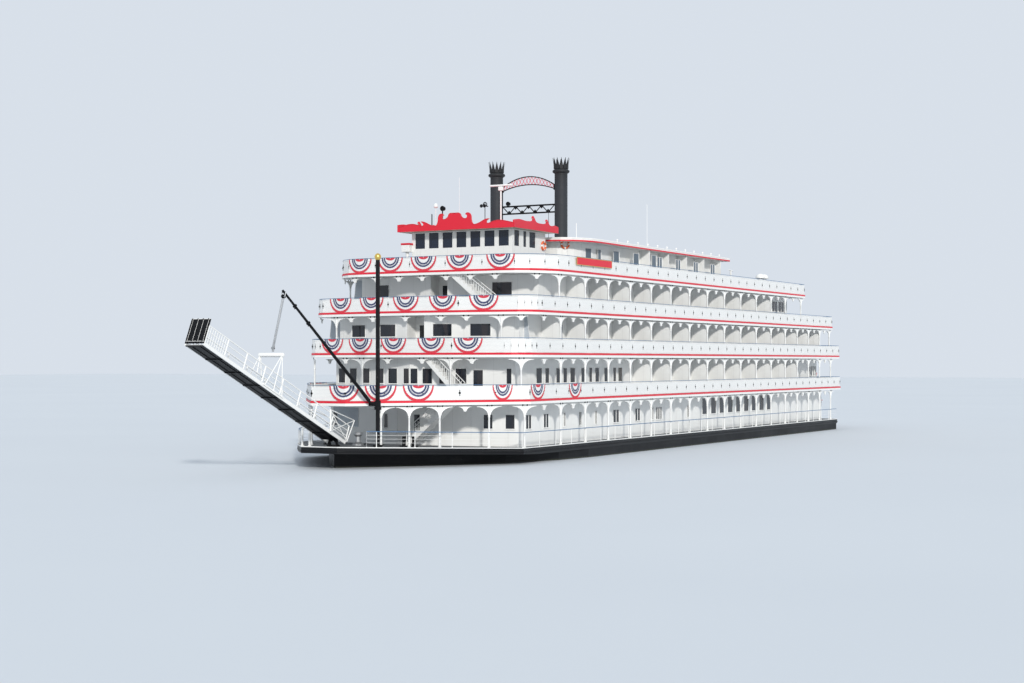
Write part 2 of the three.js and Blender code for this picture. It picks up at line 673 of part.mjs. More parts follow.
function chimneyArch() {
  const reach = CHIMNEY.y - CHIMNEY.radius - GAP;
  const curve = (y, end, apex) => end + (apex - end) * (1 - (y / reach) ** 2);
  const steps = 6;
  const ys = Array.from({ length: steps + 1 }, (_, i) => -reach + (2 * reach * i) / steps);
  const chord = (end, apex, depth) => endPlate([
    ...ys.map((y) => [y, curve(y, end, apex)]),
    ...[...ys].reverse().map((y) => [y, curve(y, end, apex) - depth]),
  ], CHIMNEY.x - ARCH.thick / 2, CHIMNEY.x + ARCH.thick / 2);
  const struts = ys.map((y) => {
    const half = 0.04;
    const middle = Math.max(-reach + half, Math.min(reach - half, y));
    const low = curve(y, ARCH.lowerEnd, ARCH.lowerApex) - 0.05;
    const high = curve(y, ARCH.end, ARCH.apex) - 0.05;
    return box(CHIMNEY.x - 0.04, CHIMNEY.x + 0.04, middle - half, middle + half, low, high);
  });
  return join(chord(ARCH.end, ARCH.apex, 0.1), chord(ARCH.lowerEnd, ARCH.lowerApex, 0.1), ...struts);
}

function chimneyTruss() {
  const reach = CHIMNEY.y - CHIMNEY.radius - GAP;
  const { low, high, bar: size, bays } = TRUSS;
  const x = CHIMNEY.x;
  const chord = (z) => box(x - size / 2, x + size / 2, -reach, reach, z - size / 2, z + size / 2);
  const braces = [];
  for (let bay = 0; bay < bays; bay += 1) {
    const y0 = -reach + (2 * reach * bay) / bays + 0.03;
    const y1 = -reach + (2 * reach * (bay + 1)) / bays - 0.03;
    const ends = bay % 2 ? [low, high] : [high, low];
    braces.push(bar([x, y0, ends[0]], [x, y1, ends[1]], 0.03, 4));
  }
  return join(chord(low), chord(high), ...braces);
}

// Mast and boom

const BOOM_AZIMUTH = Math.atan2(BOOM_TIP.y - MAST.y, BOOM_TIP.x - MAST.x);
const BOOM_FOOT = [
  MAST.x + BOOM_PIN.out * Math.cos(BOOM_AZIMUTH),
  MAST.y + BOOM_PIN.out * Math.sin(BOOM_AZIMUTH),
  BOOM_PIN.z,
];

function mast() {
  const low = mainDeckAt(MAST.x + 0.35) + GAP;
  const pole = bar([MAST.x, MAST.y, low], [MAST.x, MAST.y, MAST.top], MAST.radius, 12);
  const foot = bar([MAST.x, MAST.y, low], [MAST.x, MAST.y, low + 0.15], 0.32, 12);
  const seat = bar([MAST.x, MAST.y, BOOM_PIN.z - 0.4], [MAST.x, MAST.y, BOOM_PIN.z - 0.2 - GAP], 0.24, 12);
  const ball = new THREE.SphereGeometry(0.2, 8, 6).rotateX(Math.PI / 2);
  ball.translate(MAST.x, MAST.y, MAST.top + 0.12);
  return join(pole, foot, seat, ball);
}

function boomCollar() {
  const { z, out } = BOOM_PIN;
  const ring = bar([0, 0, z - 0.2], [0, 0, z + 0.2], 0.2, 12);
  const bore = bar([0, 0, z - 1], [0, 0, z + 1], (MAST.radius + GAP) / Math.cos(Math.PI / 12), 12);
  const lugs = [0.09, -0.15].map((y) => box(0.1, out + 0.14, y, y + 0.06, z - 0.14, z + 0.14));
  const hole = bar([out, -1, z], [out, 1, z], (0.05 + GAP) / Math.cos(Math.PI / 8), 8);
  return turned(cut(join(ring, ...lugs), bore, hole), BOOM_AZIMUTH, MAST.x, MAST.y);
}

function boom() {
  const foot = new THREE.Vector3(...BOOM_FOOT);
  const tip = new THREE.Vector3(BOOM_TIP.x, BOOM_TIP.y, BOOM_TIP.z);
  const along = tip.clone().sub(foot).normalize();
  const start = foot.clone().addScaledVector(along, 0.3);
  const across = new THREE.Vector3(Math.sin(BOOM_AZIMUTH), -Math.cos(BOOM_AZIMUTH), 0);
  const beside = (point, way) => point.clone().addScaledVector(across, way).toArray();
  const spar = bar(start.toArray(), tip.clone().addScaledVector(along, 0.15).toArray(), 0.13, 10, 0.075);
  const eye = bar(foot.toArray(), start.clone().addScaledVector(along, 0.2).toArray(), 0.075, 8);
  const pin = bar(beside(foot, -0.2), beside(foot, 0.2), 0.05, 8);
  const axle = bar(beside(tip, -AXLE_REACH), beside(tip, AXLE_REACH), 0.04, 8);
  return join(spar, eye, pin, axle);
}

// The hoist wire hangs from the axle at the boom's tip, as a fork over it and a wire to the hook.
function hoistWire() {
  const across = new THREE.Vector3(Math.sin(BOOM_AZIMUTH), -Math.cos(BOOM_AZIMUTH), 0);
  const tip = new THREE.Vector3(BOOM_TIP.x, BOOM_TIP.y, BOOM_TIP.z);
  const foot = new THREE.Vector3(CABLE_FOOT.x, CABLE_FOOT.y, CABLE_FOOT.z);
  const down = foot.clone().sub(tip).normalize();
  const yoke = tip.clone().addScaledVector(down, FORK.drop);
  const pieces = [];
  for (const way of [-1, 1]) {
    const top = tip.clone().addScaledVector(across, way * FORK.out).addScaledVector(down, -0.04);
    const low = yoke.clone().addScaledVector(across, way * FORK.out);
    pieces.push(bar(top.toArray(), low.toArray(), FORK.bar, 6));
  }
  const ends = [-1, 1].map((way) => yoke.clone().addScaledVector(across, way * (FORK.out + 0.02)).toArray());
  pieces.push(bar(ends[0], ends[1], FORK.bar, 6));
  pieces.push(bar(yoke.toArray(), foot.toArray(), 0.022, 6));
  pieces.push(bar(foot.clone().addScaledVector(down, -0.35).toArray(), foot.toArray(), 0.07, 8));
  return join(...pieces);
}

// Stage, drawn level with its heel pin at the local origin: x along it, y across, z up from its floor

function turntable() {
  const low = mainDeckAt(STAGE_PIN.x + 0.45) + GAP;
  const z = STAGE_PIN.z;
  const disc = bar([0, 0, low], [0, 0, low + 0.1], 0.45, 16);
  const lugs = [0.25, -0.33].map((y) => box(-0.1, 0.1, y, y + 0.08, low + 0.05, z + 0.08));
  const hole = bar([0, -1, z], [0, 1, z], (0.04 + GAP) / Math.cos(Math.PI / 8), 8);
  return cut(join(disc, ...lugs), hole).translate(STAGE_PIN.x, 0, 0);
}

function stage() {
  const { start, length, half, floor, stringer, railHeight, panels } = STAGE;
  const deckStart = 0.3;
  const web = 0.06;
  const post = 0.06;
  const rails = [0.46, 0.81, railHeight];
  const pitch = (length - start - post) / panels;
  const openings = [];
  for (let panel = 0; panel < panels; panel += 1) {
    const left = start + post + panel * pitch;
    rails.forEach((top, i) => {
      openings.push(box(left, left + pitch - post, -2, 2, i === 0 ? stringer : rails[i - 1], top - 0.045));
    });
  }
  const sides = [half, -half + web].map((y) => (
    cut(box(start, length, y - web, y, -stringer, railHeight), ...openings)
  ));
  const deck = box(deckStart, length, -half, half, floor - 0.06, floor);
  const eyes = [0.06, -0.18].map((y) => box(-0.1, deckStart + 0.1, y, y + 0.12, -0.1, 0.08));
  const cross = box(deckStart, deckStart + 0.12, -half, half, floor - 0.06, 0.08);
  const pin = bar([0, -0.38, 0], [0, 0.38, 0], 0.04, 8);
  return join(deck, ...sides, cross, ...eyes, pin);
}

function stagePortal() {
  const y = STAGE.half - 0.03;
  const { feet, bar: x, height, barHalf, headY } = PORTAL;
  const foot = STAGE.railHeight + 0.022 + GAP;
  const pieces = [bar([x, -barHalf, height], [x, barHalf, height], 0.06, 8)];
  for (const side of [-1, 1]) {
    for (const footX of feet) {
      pieces.push(bar([footX, side * y, foot], [x, side * headY, height], 0.035, 4));
    }
    const [start, end] = [feet[0] - 0.06, feet.at(-1) + 0.06];
    pieces.push(box(start, end, side * y - 0.035, side * y + 0.035, foot, foot + 0.06));
  }
  return join(...pieces);
}

function stageFlap() {
  const half = STAGE.half - 0.02;
  const { length, pinOut, pinUp, pin: radius } = FLAP;
  const plate = box(pinOut - 0.03, pinOut + 0.03, -half, half, pinUp + 0.02, length);
  const rib = box(pinOut + 0.02, pinOut + 0.09, -0.03, 0.03, 0.1, length);
  const ribs = [-0.6, -0.2, 0.2, 0.6].map((y) => rib.clone().translate(0, y, 0));
  const pin = bar([pinOut, -half, pinUp], [pinOut, half, pinUp], radius, 8);
  return join(plate, ...ribs, pin);
}

// Stern wheel

function paddleWheel() {
  const { radius, half, arms, shaft, frames, bucket, armHalf, frameThick } = WHEEL;
  const rim = radius - bucket;
  const inside = rim - 0.18;
  const armEnd = radius - 0.05;
  const hub = 0.62;
  const step = (2 * Math.PI) / arms;
  const centre = new THREE.Vector2();
  const at = (r, angle, offset) => new THREE.Vector2(r, offset).rotateAround(centre, angle).toArray();
  const outline = [];
  const openings = [];
  for (let arm = 0; arm < arms; arm += 1) {
    const [here, next] = [arm * step, (arm + 1) * step];
    outline.push(at(rim, here, -armHalf), at(armEnd, here, -armHalf), at(armEnd, here, armHalf));
    outline.push(at(rim, here, armHalf), at(rim, here + step / 2, 0));
    openings.push([
      at(hub, here, armHalf), at(inside, here, armHalf), at(inside, next, -armHalf), at(hub, next, -armHalf),
    ]);
  }
  const plate = cut(
    sidePlate(outline, -frameThick / 2, frameThick / 2),
    ...openings.map((opening) => sidePlate(opening, -1, 1)),
  );
  const pieces = [bar([0, -6.0, 0], [0, 6.0, 0], shaft, 12)];
  for (const y of frames) {
    pieces.push(plate.clone().translate(0, y, 0));
    pieces.push(bar([0, y - 0.2, 0], [0, y + 0.2, 0], 0.5, 12));
  }
  for (let arm = 0; arm < arms; arm += 1) {
    pieces.push(box(rim + 0.03, radius, -half, half, -0.045, 0.045).rotateY(-arm * step));
  }
  return join(...pieces);
}

function wheelBeam() {
  const { x, z } = WHEEL;
  const start = STERN_X - GAP;
  const outline = [
    [start, 1.75], [start, HULL_TOP], [x + 0.55, z + 0.5],
    [x - 0.6, z + 0.5], [x - 0.6, z - 0.5], [x + 0.4, z - 0.5],
  ];
  const beam = sidePlate(outline, BEAM.y - BEAM.half, BEAM.y + BEAM.half);
  const bore = bar([x, BEAM.y - 1, z], [x, BEAM.y + 1, z], (WHEEL.shaft + GAP) / Math.cos(Math.PI / 16), 16);
  return cut(beam, bore);
}

function rudder() {
  const half = 0.06;
  const blade = sidePlate([
    [0.9, 0.3], [0.9, 1.4], [-0.36, 1.5], [-0.36, 1.86], [0, 1.86],
    [0, 2.29], [-1.2, 2.29], [-1.5, 2.0], [-1.5, 0.3],
  ], -half, half);
  const stock = bar([0, 0, 1.2], [0, 0, 2.62], RUDDER.stock, 12);
  return join(blade, stock);
}

// Fittings on the foredeck

function bitts() {
  const low = MAIN_DECK_TOP + GAP;
  const posts = [-0.35, 0.35].map((x) => bar([x, 0, low], [x, 0, low + 0.7], 0.13, 8));
  const base = box(-0.6, 0.6, -0.2, 0.2, low, low + 0.08);
  return onSheer(join(base, ...posts).rotateZ(BITTS.heading).translate(BITTS.x, BITTS.y, 0));
}

function capstan() {
  const low = mainDeckAt(CAPSTAN_X + 0.4) + GAP;
  return lathe([
    [0, low], [0.4, low], [0.4, low + 0.12], [0.2, low + 0.25], [0.17, low + 0.6], [0.3, low + 0.75],
    [0.3, low + 0.9], [0, low + 0.9],
  ]).translate(CAPSTAN_X, 0, 0);
}

function build() {
  add("hull", hull(), BLACK);
  add("main_deck", mainDeck(), BLACK);
  add("main_deck_fore", foreDeck(), BLACK);
  for (const level of [2, 3, 4, 5]) {
    add(`deck_${level}`, deckPlate(level), DECK_GREY);
  }
  for (const level of [2, 5]) {
    add(`rail_deck_${level}`, deckRail(level), WHITE);
  }
  for (const level of [3, 4]) {
    add(`rail_deck_${level}`, railPart(level, false), WHITE);
    add(`rail_deck_${level}_front`, railPart(level, true), WHITE);
  }
  addBothSides("rail_main", mainRail(), WHITE);
  for (const level of [1, 2, 3, 4]) {
    add(level === 1 ? "house_main" : `house_${level}`, house(level), WHITE);
    addBothSides(level === 1 ? "colonnade_main" : `colonnade_${level}`, colonnade(level), WHITE);
  }
  for (const level of [2, 3, 4]) {
    addBothSides(`partitions_${level}`, partitions(level), WHITE);
  }
  add("top_house", topHouse(), WHITE);
  const roof = wholeOutline(TOP_ROOF_HALF);
  add("top_roof", planPlate(roof, TOP_ROOF.top - TOP_ROOF.thick, TOP_ROOF.top), WHITE);
  for (const stair of STAIRS) {
    add(stair.name, stairFlight(stair), WHITE);
  }
  add("pilothouse", pilothouse(), WHITE);
  add("pilothouse_roof", pilothouseRoof(), RED);
  addBothSides("chimney", chimney(), CHARCOAL);
  add("chimney_arch", chimneyArch(), RED);
  add("chimney_truss", chimneyTruss(), CHARCOAL);
  addBothSides("bitts", bitts(), BLACK);
  add("capstan", capstan(), STEEL);
  add("mast", mast(), BLACK);
  add("boom_collar", boomCollar(), BLACK);
  add("boom", boom(), BLACK);
  add("hoist_wire", hoistWire(), STEEL);
  add("stage_turntable", turntable(), BLACK);
  const stageGroup = new THREE.Group();
  stageGroup.position.set(STAGE_PIN.x, 0, STAGE_PIN.z);
  stageGroup.rotation.y = -STAGE_TILT;
  boat.add(stageGroup);
  add("stage", stage(), WHITE, stageGroup);
  add("stage_portal", stagePortal(), WHITE, stageGroup);
  const flapGroup = new THREE.Group();
  flapGroup.position.set(STAGE.length + GAP, 0, 0);
  stageGroup.add(flapGroup);
  add("stage_flap", stageFlap(), BLACK, flapGroup);
  const wheelGroup = new THREE.Group();
  wheelGroup.position.set(WHEEL.x, 0, WHEEL.z);
  boat.add(wheelGroup);
  add("paddle_wheel", paddleWheel(), WHEEL_RED, wheelGroup);
  addBothSides("wheel_beam", wheelBeam(), TIMBER);
  for (const [name, side] of [["rudder_port", 1], ["rudder_starboard", -1]]) {
    add(name, rudder(), BLACK).position.set(RUDDER.x, side * RUDDER.y, 0);
  }
}

build();

export default boat;
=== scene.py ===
# %% [markdown]
# This lesson dresses the model of a sternwheel paddle boat. The CAD frame holds every deck, house and
# column at its true size, so we begin by loading it. All lengths are metres on the 1:10 model: a 1.07 m
# guard rail on the real boat is 0.107 m here.

# %% The frame
import math
from collections import namedtuple

import bpy
from mathutils import Matrix, Vector
from mathutils.geometry import convex_hull_2d


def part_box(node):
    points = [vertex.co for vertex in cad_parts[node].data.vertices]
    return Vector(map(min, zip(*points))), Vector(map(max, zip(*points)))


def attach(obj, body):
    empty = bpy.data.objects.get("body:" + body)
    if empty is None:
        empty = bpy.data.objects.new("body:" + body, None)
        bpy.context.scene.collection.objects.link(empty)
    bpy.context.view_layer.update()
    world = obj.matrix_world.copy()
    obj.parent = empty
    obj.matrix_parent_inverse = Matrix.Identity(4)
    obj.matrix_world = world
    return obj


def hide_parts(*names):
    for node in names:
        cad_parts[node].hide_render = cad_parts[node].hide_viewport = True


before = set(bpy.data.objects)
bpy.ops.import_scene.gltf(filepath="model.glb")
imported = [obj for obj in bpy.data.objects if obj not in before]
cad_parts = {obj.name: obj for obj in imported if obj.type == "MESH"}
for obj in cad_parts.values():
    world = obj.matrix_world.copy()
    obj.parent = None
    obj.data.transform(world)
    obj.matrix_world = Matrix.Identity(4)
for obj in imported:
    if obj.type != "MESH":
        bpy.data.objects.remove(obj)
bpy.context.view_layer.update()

WATERLINE = 0.20

# %% [markdown]
# A photograph is matched first by its camera. The vanishing lines of the decks gave this place and lens:
# about 143 m from the boat, at the height of the second deck, looking level. The small upward shift keeps
# the uprights upright, as a view camera does, instead of tilting the camera down.

# %% The camera
LENS, FILM_WIDTH = 58.0, 36  # millimetres
CAMERA_PLACE = (12.75, 6.375, 0.91)
CAMERA_AIM = (-0.8738, -0.4863, 0)
CAMERA_SHIFT = 0.0195  # upwards, as a share of the picture's width
camera_data = bpy.data.cameras.new("camera")
camera_data.lens = LENS
camera_data.sensor_width = FILM_WIDTH
camera_data.shift_y = CAMERA_SHIFT
camera_data.clip_end = 200
camera = bpy.data.objects.new("camera", camera_data)
camera.location = CAMERA_PLACE
camera.rotation_euler = Vector(CAMERA_AIM).to_track_quat("-Z", "Y").to_euler()
bpy.context.scene.collection.objects.link(camera)
bpy.context.scene.camera = camera
print("camera at", CAMERA_PLACE)

# %% [markdown]
# Blender's operators act on whatever is selected, so a careless selection changes the wrong piece. These
# few helpers select first and act second. Each makes or finishes a piece as one would by hand: add a
# primitive, set its size, bevel its edges, and keep its place in its mesh with the object at the origin.

# %% Helpers for selecting and finishing pieces


def only(*pieces):
    """Selects these pieces and nothing else. The last one is active."""
    bpy.ops.object.select_all(action="DESELECT")
    for piece in pieces:
        piece.select_set(True)
    bpy.context.view_layer.objects.active = pieces[-1]


def settled(piece, name):
    """Gives the piece its name, and moves its place and turn into its mesh."""
    only(piece)
    piece.name = name
    piece.data.name = name
    bpy.ops.object.transform_apply(location=True, rotation=True, scale=True)
    return piece


def block(name, low, high):
    """A box between two corners."""
    bpy.ops.object.select_all(action="DESELECT")
    middle = [(a + b) / 2 for a, b in zip(low, high)]
    bpy.ops.mesh.primitive_cube_add(size=1, location=middle)
    piece = bpy.context.object
    piece.scale = [b - a for a, b in zip(low, high)]
    return settled(piece, name)


def rod(name, start, end, radius, sides=12, end_radius=None):
    """A round bar from one point to another, with its radius at each end."""
    start, end = Vector(start), Vector(end)
    along = end - start
    bpy.ops.object.select_all(action="DESELECT")
    bpy.ops.mesh.primitive_cone_add(vertices=sides, radius1=radius, depth=along.length,
                                    radius2=radius if end_radius is None else end_radius,
                                    location=(start + end) / 2)
    piece = bpy.context.object
    piece.rotation_euler = along.to_track_quat("Z", "Y").to_euler()
    return settled(piece, name)


def applied(piece, kind, **settings):
    """Adds a modifier with these settings and applies it."""
    only(piece)
    modifier = piece.modifiers.new(kind.lower(), kind)
    for key, value in settings.items():
        setattr(modifier, key, value)
    bpy.ops.object.modifier_apply(modifier=modifier.name)
    return piece


def bevelled(piece, width, segments=1):
    """Rounds the piece's sharp edges."""
    return applied(piece, "BEVEL", width=width, segments=segments, limit_method="ANGLE",
                   angle_limit=math.radians(35))


def soft_block(name, low, high, width, segments=1):
    """A box between two corners, with rounded edges."""
    return bevelled(block(name, low, high), width, segments)


def smoothed(piece, angle=35):
    """Shades the piece smooth, except at edges sharper than the angle."""
    only(piece)
    bpy.ops.object.shade_smooth_by_angle(angle=math.radians(angle))
    return piece


def joined(name, pieces):
    """Makes one piece of several."""
    only(*pieces)
    if len(pieces) > 1:
        bpy.ops.object.join()
    return settled(bpy.context.object, name)


def copied(pattern, move):
    """A copy of the pattern with its own mesh, placed by a matrix."""
    copy = pattern.copy()
    copy.data = pattern.data.copy()
    copy.data.transform(move)
    if move.determinant() < 0:
        copy.data.flip_normals()
    bpy.context.scene.collection.objects.link(copy)
    return copy


def repeated(name, pattern, moves):
    """Copies the pattern to each place and joins the copies. The pattern itself goes."""
    copies = [copied(pattern, move) for move in moves]
    bpy.data.objects.remove(pattern)
    return joined(name, copies)


def placed(x, y, z, heading=0.0, size=(1, 1, 1)):
    """The matrix that sizes a piece, turns it about Z and moves it."""
    return Matrix.Translation((x, y, z)) @ Matrix.Rotation(heading, 4, "Z") @ Matrix.Diagonal((*size, 1))


def moved(piece, matrix):
    """Moves the piece's mesh by the matrix. The object stays at the origin."""
    piece.data.transform(matrix)
    return piece


def turns(count):
    """The angles of even steps round a circle."""
    return [2 * math.pi * step / count for step in range(count)]


def edited(piece):
    """Leaves the piece in edit mode with all of it selected."""
    only(piece)
    bpy.ops.object.mode_set(mode="EDIT")
    bpy.ops.mesh.select_all(action="SELECT")


def chosen(piece, kind, test):
    """Leaves the piece in edit mode with just the verts, edges or faces selected that pass the test."""
    only(piece)
    bpy.ops.object.mode_set(mode="EDIT")
    bpy.ops.mesh.select_mode(type=kind)
    bpy.ops.mesh.select_all(action="DESELECT")
    bpy.ops.object.mode_set(mode="OBJECT")
    parts = {"VERT": piece.data.vertices, "EDGE": piece.data.edges, "FACE": piece.data.polygons}[kind]
    for part in parts:
        part.select = bool(test(part))
    bpy.ops.object.mode_set(mode="EDIT")
    return piece


def done(piece):
    """Leaves edit mode."""
    bpy.ops.object.mode_set(mode="OBJECT")
    return piece


def extruded(way):
    """Extrudes what is selected in edit mode by the given way."""
    bpy.ops.mesh.extrude_region_move(TRANSFORM_OT_translate={"value": way})


def loop_of(points, fill="NOTHING"):
    """A closed loop of edges through the points, or with fill NGON the face inside it."""
    bpy.ops.object.select_all(action="DESELECT")
    bpy.ops.mesh.primitive_circle_add(vertices=len(points), fill_type=fill)
    piece = bpy.context.object
    for vert, point in zip(piece.data.vertices, points):
        vert.co = point
    return piece


def outward(piece):
    """Points every face of a closed piece outwards."""
    edited(piece)
    bpy.ops.mesh.normals_make_consistent(inside=False)
    return done(piece)


def coated(data, *finishes):
    """Gives a mesh these materials in place of its own."""
    data.materials.clear()
    for finish in finishes:
        data.materials.append(finish)


def painted(piece, finish):
    """Gives a part of a piece its own finish before it is joined to the rest."""
    coated(piece.data, finish)
    piece.data.polygons.foreach_set("material_index", [0] * len(piece.data.polygons))
    return piece


def two_toned(piece, plain, marked, test):
    """Gives the faces that pass the test the marked finish, and all others the plain one."""
    coated(piece.data, plain, marked)
    for face in piece.data.polygons:
        face.material_index = 1 if test(face) else 0
    return piece


def mounted(piece, finish, body="boat", replacing=()):
    """Gives a finished piece its material and the body that carries it."""
    if finish is not None:
        coated(piece.data, finish)
    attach(piece, body)
    if replacing:
        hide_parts(*replacing)
    return piece


print("helpers ready")

# %% [markdown]
# A painted ship is never one flat colour. Seams between plates, runs below the scuppers and a little dirt
# are what tell the eye how large it is. We write each finish as a sum, such as white * (1 - dirt), so one
# small class wraps a shader socket and turns Python's operators into Math nodes.

# %% Shader maths


class Signal:
    """A number that changes over a surface. Sums with it add Math nodes."""

    def __init__(self, finish, socket):
        self.finish = finish
        self.socket = socket

    def math(self, operation, *others):
        node = self.finish.node("ShaderNodeMath", {"operation": operation}, dict(enumerate((self, *others))))
        return Signal(self.finish, node.outputs[0])

    def between(self, low, high):
        """0 below low, 1 above high, and smooth between them."""
        node = self.finish.node("ShaderNodeMapRange", {"interpolation_type": "SMOOTHSTEP"},
                                {"Value": self, "From Min": low, "From Max": high})
        return Signal(self.finish, node.outputs[0])

    def line_every(self, pitch, width):
        """1 on a line of this width at each multiple of the pitch, else 0."""
        place = (self / pitch + 0.5).math("FRACT") - 0.5
        return place.math("ABSOLUTE") < width / pitch / 2


def operator(operation, other_first=False):
    """A method that joins a signal and another number by one Math node."""

    def method(signal, other):
        first, second = (other, signal) if other_first else (signal, other)
        node = signal.finish.node("ShaderNodeMath", {"operation": operation}, {0: first, 1: second})
        return Signal(signal.finish, node.outputs[0])

    return method


for symbol, operation in {"add": "ADD", "radd": "ADD", "sub": "SUBTRACT", "mul": "MULTIPLY",
                          "rmul": "MULTIPLY", "truediv": "DIVIDE", "gt": "GREATER_THAN",
                          "lt": "LESS_THAN"}.items():
    setattr(Signal, f"__{symbol}__", operator(operation))
Signal.__rsub__ = operator("SUBTRACT", other_first=True)


Axes = namedtuple("Axes", "x y z")


class Finish:
    """A material whose inputs are written as expressions."""

    def __init__(self, name, roughness=0.5, metallic=0.0, coat=0.0, shine=0.5):
        self.material = bpy.data.materials.new(name)
        self.material.use_nodes = True
        self.tree = self.material.node_tree
        self.surface = self.tree.nodes["Principled BSDF"]
        self.surface.inputs["Metallic"].default_value = metallic
        self.surface.inputs["Coat Weight"].default_value = coat
        self.surface.inputs["Specular IOR Level"].default_value = shine
        self.set("Roughness", roughness)

    def node(self, kind, settings, values):
        """Any node: its settings first, then the value or link of each socket."""
        node = self.tree.nodes.new(kind)
        for key, value in settings.items():
            setattr(node, key, value)
        for key, value in values.items():
            self.feed(node.inputs[key], value)
        return node

    def feed(self, socket, value):
        if isinstance(value, Signal):
            self.tree.links.new(value.socket, socket)
        elif isinstance(value, bpy.types.NodeSocket):
            self.tree.links.new(value, socket)
        else:
            socket.default_value = value

    def set(self, name, value):
        self.feed(self.surface.inputs[name], value)
        return self

    def coordinates(self):
        """Object coordinates and the surface's normal, each with signals for its x, y and z."""
        place = self.node("ShaderNodeTexCoord", {}, {}).outputs["Object"]
        facing = self.node("ShaderNodeNewGeometry", {}, {}).outputs["Normal"]
        split = [self.node("ShaderNodeSeparateXYZ", {}, {"Vector": source}) for source in (place, facing)]
        return [Axes(*(Signal(self, output) for output in node.outputs)) for node in split]

    def noise(self, scale, detail=3.0, stretch=(1, 1, 1)):
        """Soft noise from 0 to 1. The stretch squeezes the pattern along each axis."""
        place = self.node("ShaderNodeTexCoord", {}, {}).outputs["Object"]
        mapping = self.node("ShaderNodeMapping", {}, {"Vector": place, "Scale": stretch})
        values = {"Vector": mapping.outputs[0], "Scale": scale, "Detail": detail}
        return Signal(self, self.node("ShaderNodeTexNoise", {}, values).outputs["Fac"])

    def mix(self, factor, first, second):
        """The first colour where the factor is 0, the second where it is 1."""
        first, second = (shade(colour) if isinstance(colour, tuple) and len(colour) == 3 else colour
                         for colour in (first, second))
        node = self.node("ShaderNodeMix", {"data_type": "RGBA"}, {0: factor, 6: first, 7: second})
        return node.outputs[2]

    def layers(self, colour, *layers):
        """Lays colours over the first one, each where its own signal is high, and sets the base colour."""
        for share, over in layers:
            colour = self.mix(share, colour, over)
        return self.set("Base Color", colour)

    def relief(self, height, distance, strength=1.0):
        """Raises or sinks the surface in the light by the height, times the distance in metres."""
        bump = self.node("ShaderNodeBump", {}, {"Height": height, "Distance": distance, "Strength": strength})
        return self.set("Normal", bump.outputs[0])


def shade(colour, factor=1.0):
    """A colour with its alpha, made lighter or darker by the factor."""
    red, green, blue = colour
    return (red * factor, green * factor, blue * factor, 1)


def wall_axes(finish):
    """The way along a wall, the height, and 1 on upright faces, whichever way the wall faces."""
    place, facing = finish.coordinates()
    front = facing.x.math("ABSOLUTE") > 0.7
    return place.x * (1 - front) + place.y * front, place.z, facing.z.math("ABSOLUTE") < 0.5


def drifting(name, first, second, grain, relief, **surface):
    """A paint that drifts between two colours over a noise. Relief is a noise, a distance and a strength."""
    finish = Finish(name, **surface)
    finish.set("Base Color", finish.mix(finish.noise(*grain), first, second))
    waves, distance, strength = relief
    return finish.relief(finish.noise(*waves), distance, strength).material


print("shader maths ready")

# %% [markdown]
# White paint covers most of the boat. Fresh marine enamel is a warm white with a satin shine. Steel houses
# show the seams of their plates about every 1.2 m, and rain draws faint grey runs down from each deck edge.
# The seam runs along x on the sides and along y on the fronts, so the finish looks at the surface's normal
# to choose.

# %% White paint
WHITE = (0.82, 0.82, 0.80)


def wall_white():
    finish = Finish("white_paint_walls", roughness=0.42)
    along, _, upright = wall_axes(finish)
    seam = along.line_every(0.122, 0.0016) * upright
    runs = (finish.noise(9, 4, (1, 1, 0.12)).between(0.55, 0.85)) * upright
    cloudy = finish.noise(1.6, 3)
    finish.layers(WHITE, (runs * 0.35, (0.62, 0.61, 0.57)),
                  (cloudy.between(0.35, 0.75) * 0.25, shade(WHITE, 0.93)), (seam * 0.45, (0.42, 0.43, 0.43)))
    finish.set("Roughness", 0.36 + cloudy * 0.16)
    return finish.relief(finish.noise(2.2, 2) * 0.5 - seam, 0.0012, 0.5).material


def trim_white():
    finish = Finish("white_paint_trim", roughness=0.38)
    cloudy = finish.noise(5, 3)
    worn = finish.noise(60, 4).between(0.62, 0.8)
    finish.layers(WHITE, (cloudy.between(0.4, 0.75) * 0.3, shade(WHITE, 0.9)),
                  (worn * 0.12, (0.6, 0.58, 0.54)))
    finish.set("Roughness", 0.32 + cloudy * 0.15)
    return finish.relief(finish.noise(90, 2), 0.0004, 0.4).material


def rail_white():
    """Rail panels are pressed sheet: small staggered holes over the whole panel, with a plain border."""
    finish = Finish("white_rail_panels", roughness=0.4)
    along, z, upright = wall_axes(finish)
    pitch = 0.009
    row = (z / pitch).math("FLOOR")
    shift = (row * 0.5).math("FRACT")
    across = (along / pitch + shift).math("FRACT") - 0.5
    up = (z / pitch).math("FRACT") - 0.5
    hole = (across * across + up * up).math("SQRT") < 0.26
    cloudy = finish.noise(4, 3)
    # The holes are painted grey-blue: painted shade, the dark seen through each hole. The relief also sinks
    # them.
    finish.layers(WHITE, (cloudy.between(0.4, 0.8) * 0.3, shade(WHITE, 0.9)),
                  (hole * upright * 0.5, (0.36, 0.38, 0.40)))
    return finish.relief(1 - hole * upright, 0.0008, 0.6).material


WALL_WHITE = wall_white()
TRIM_WHITE = trim_white()
RAIL_WHITE = rail_white()
print("white finishes made")

# %% [markdown]
# The hull is coal black with a satin face. Close to, its plates show as slight waves with weld lines
# between them, rope and fenders leave pale scuffs, and a thin scum line marks the water. The decks are grey
# non-slip paint on top and white below, so one finish reads the way the surface faces.

# %% Hull and deck paint
BLACK = (0.005, 0.0055, 0.007)


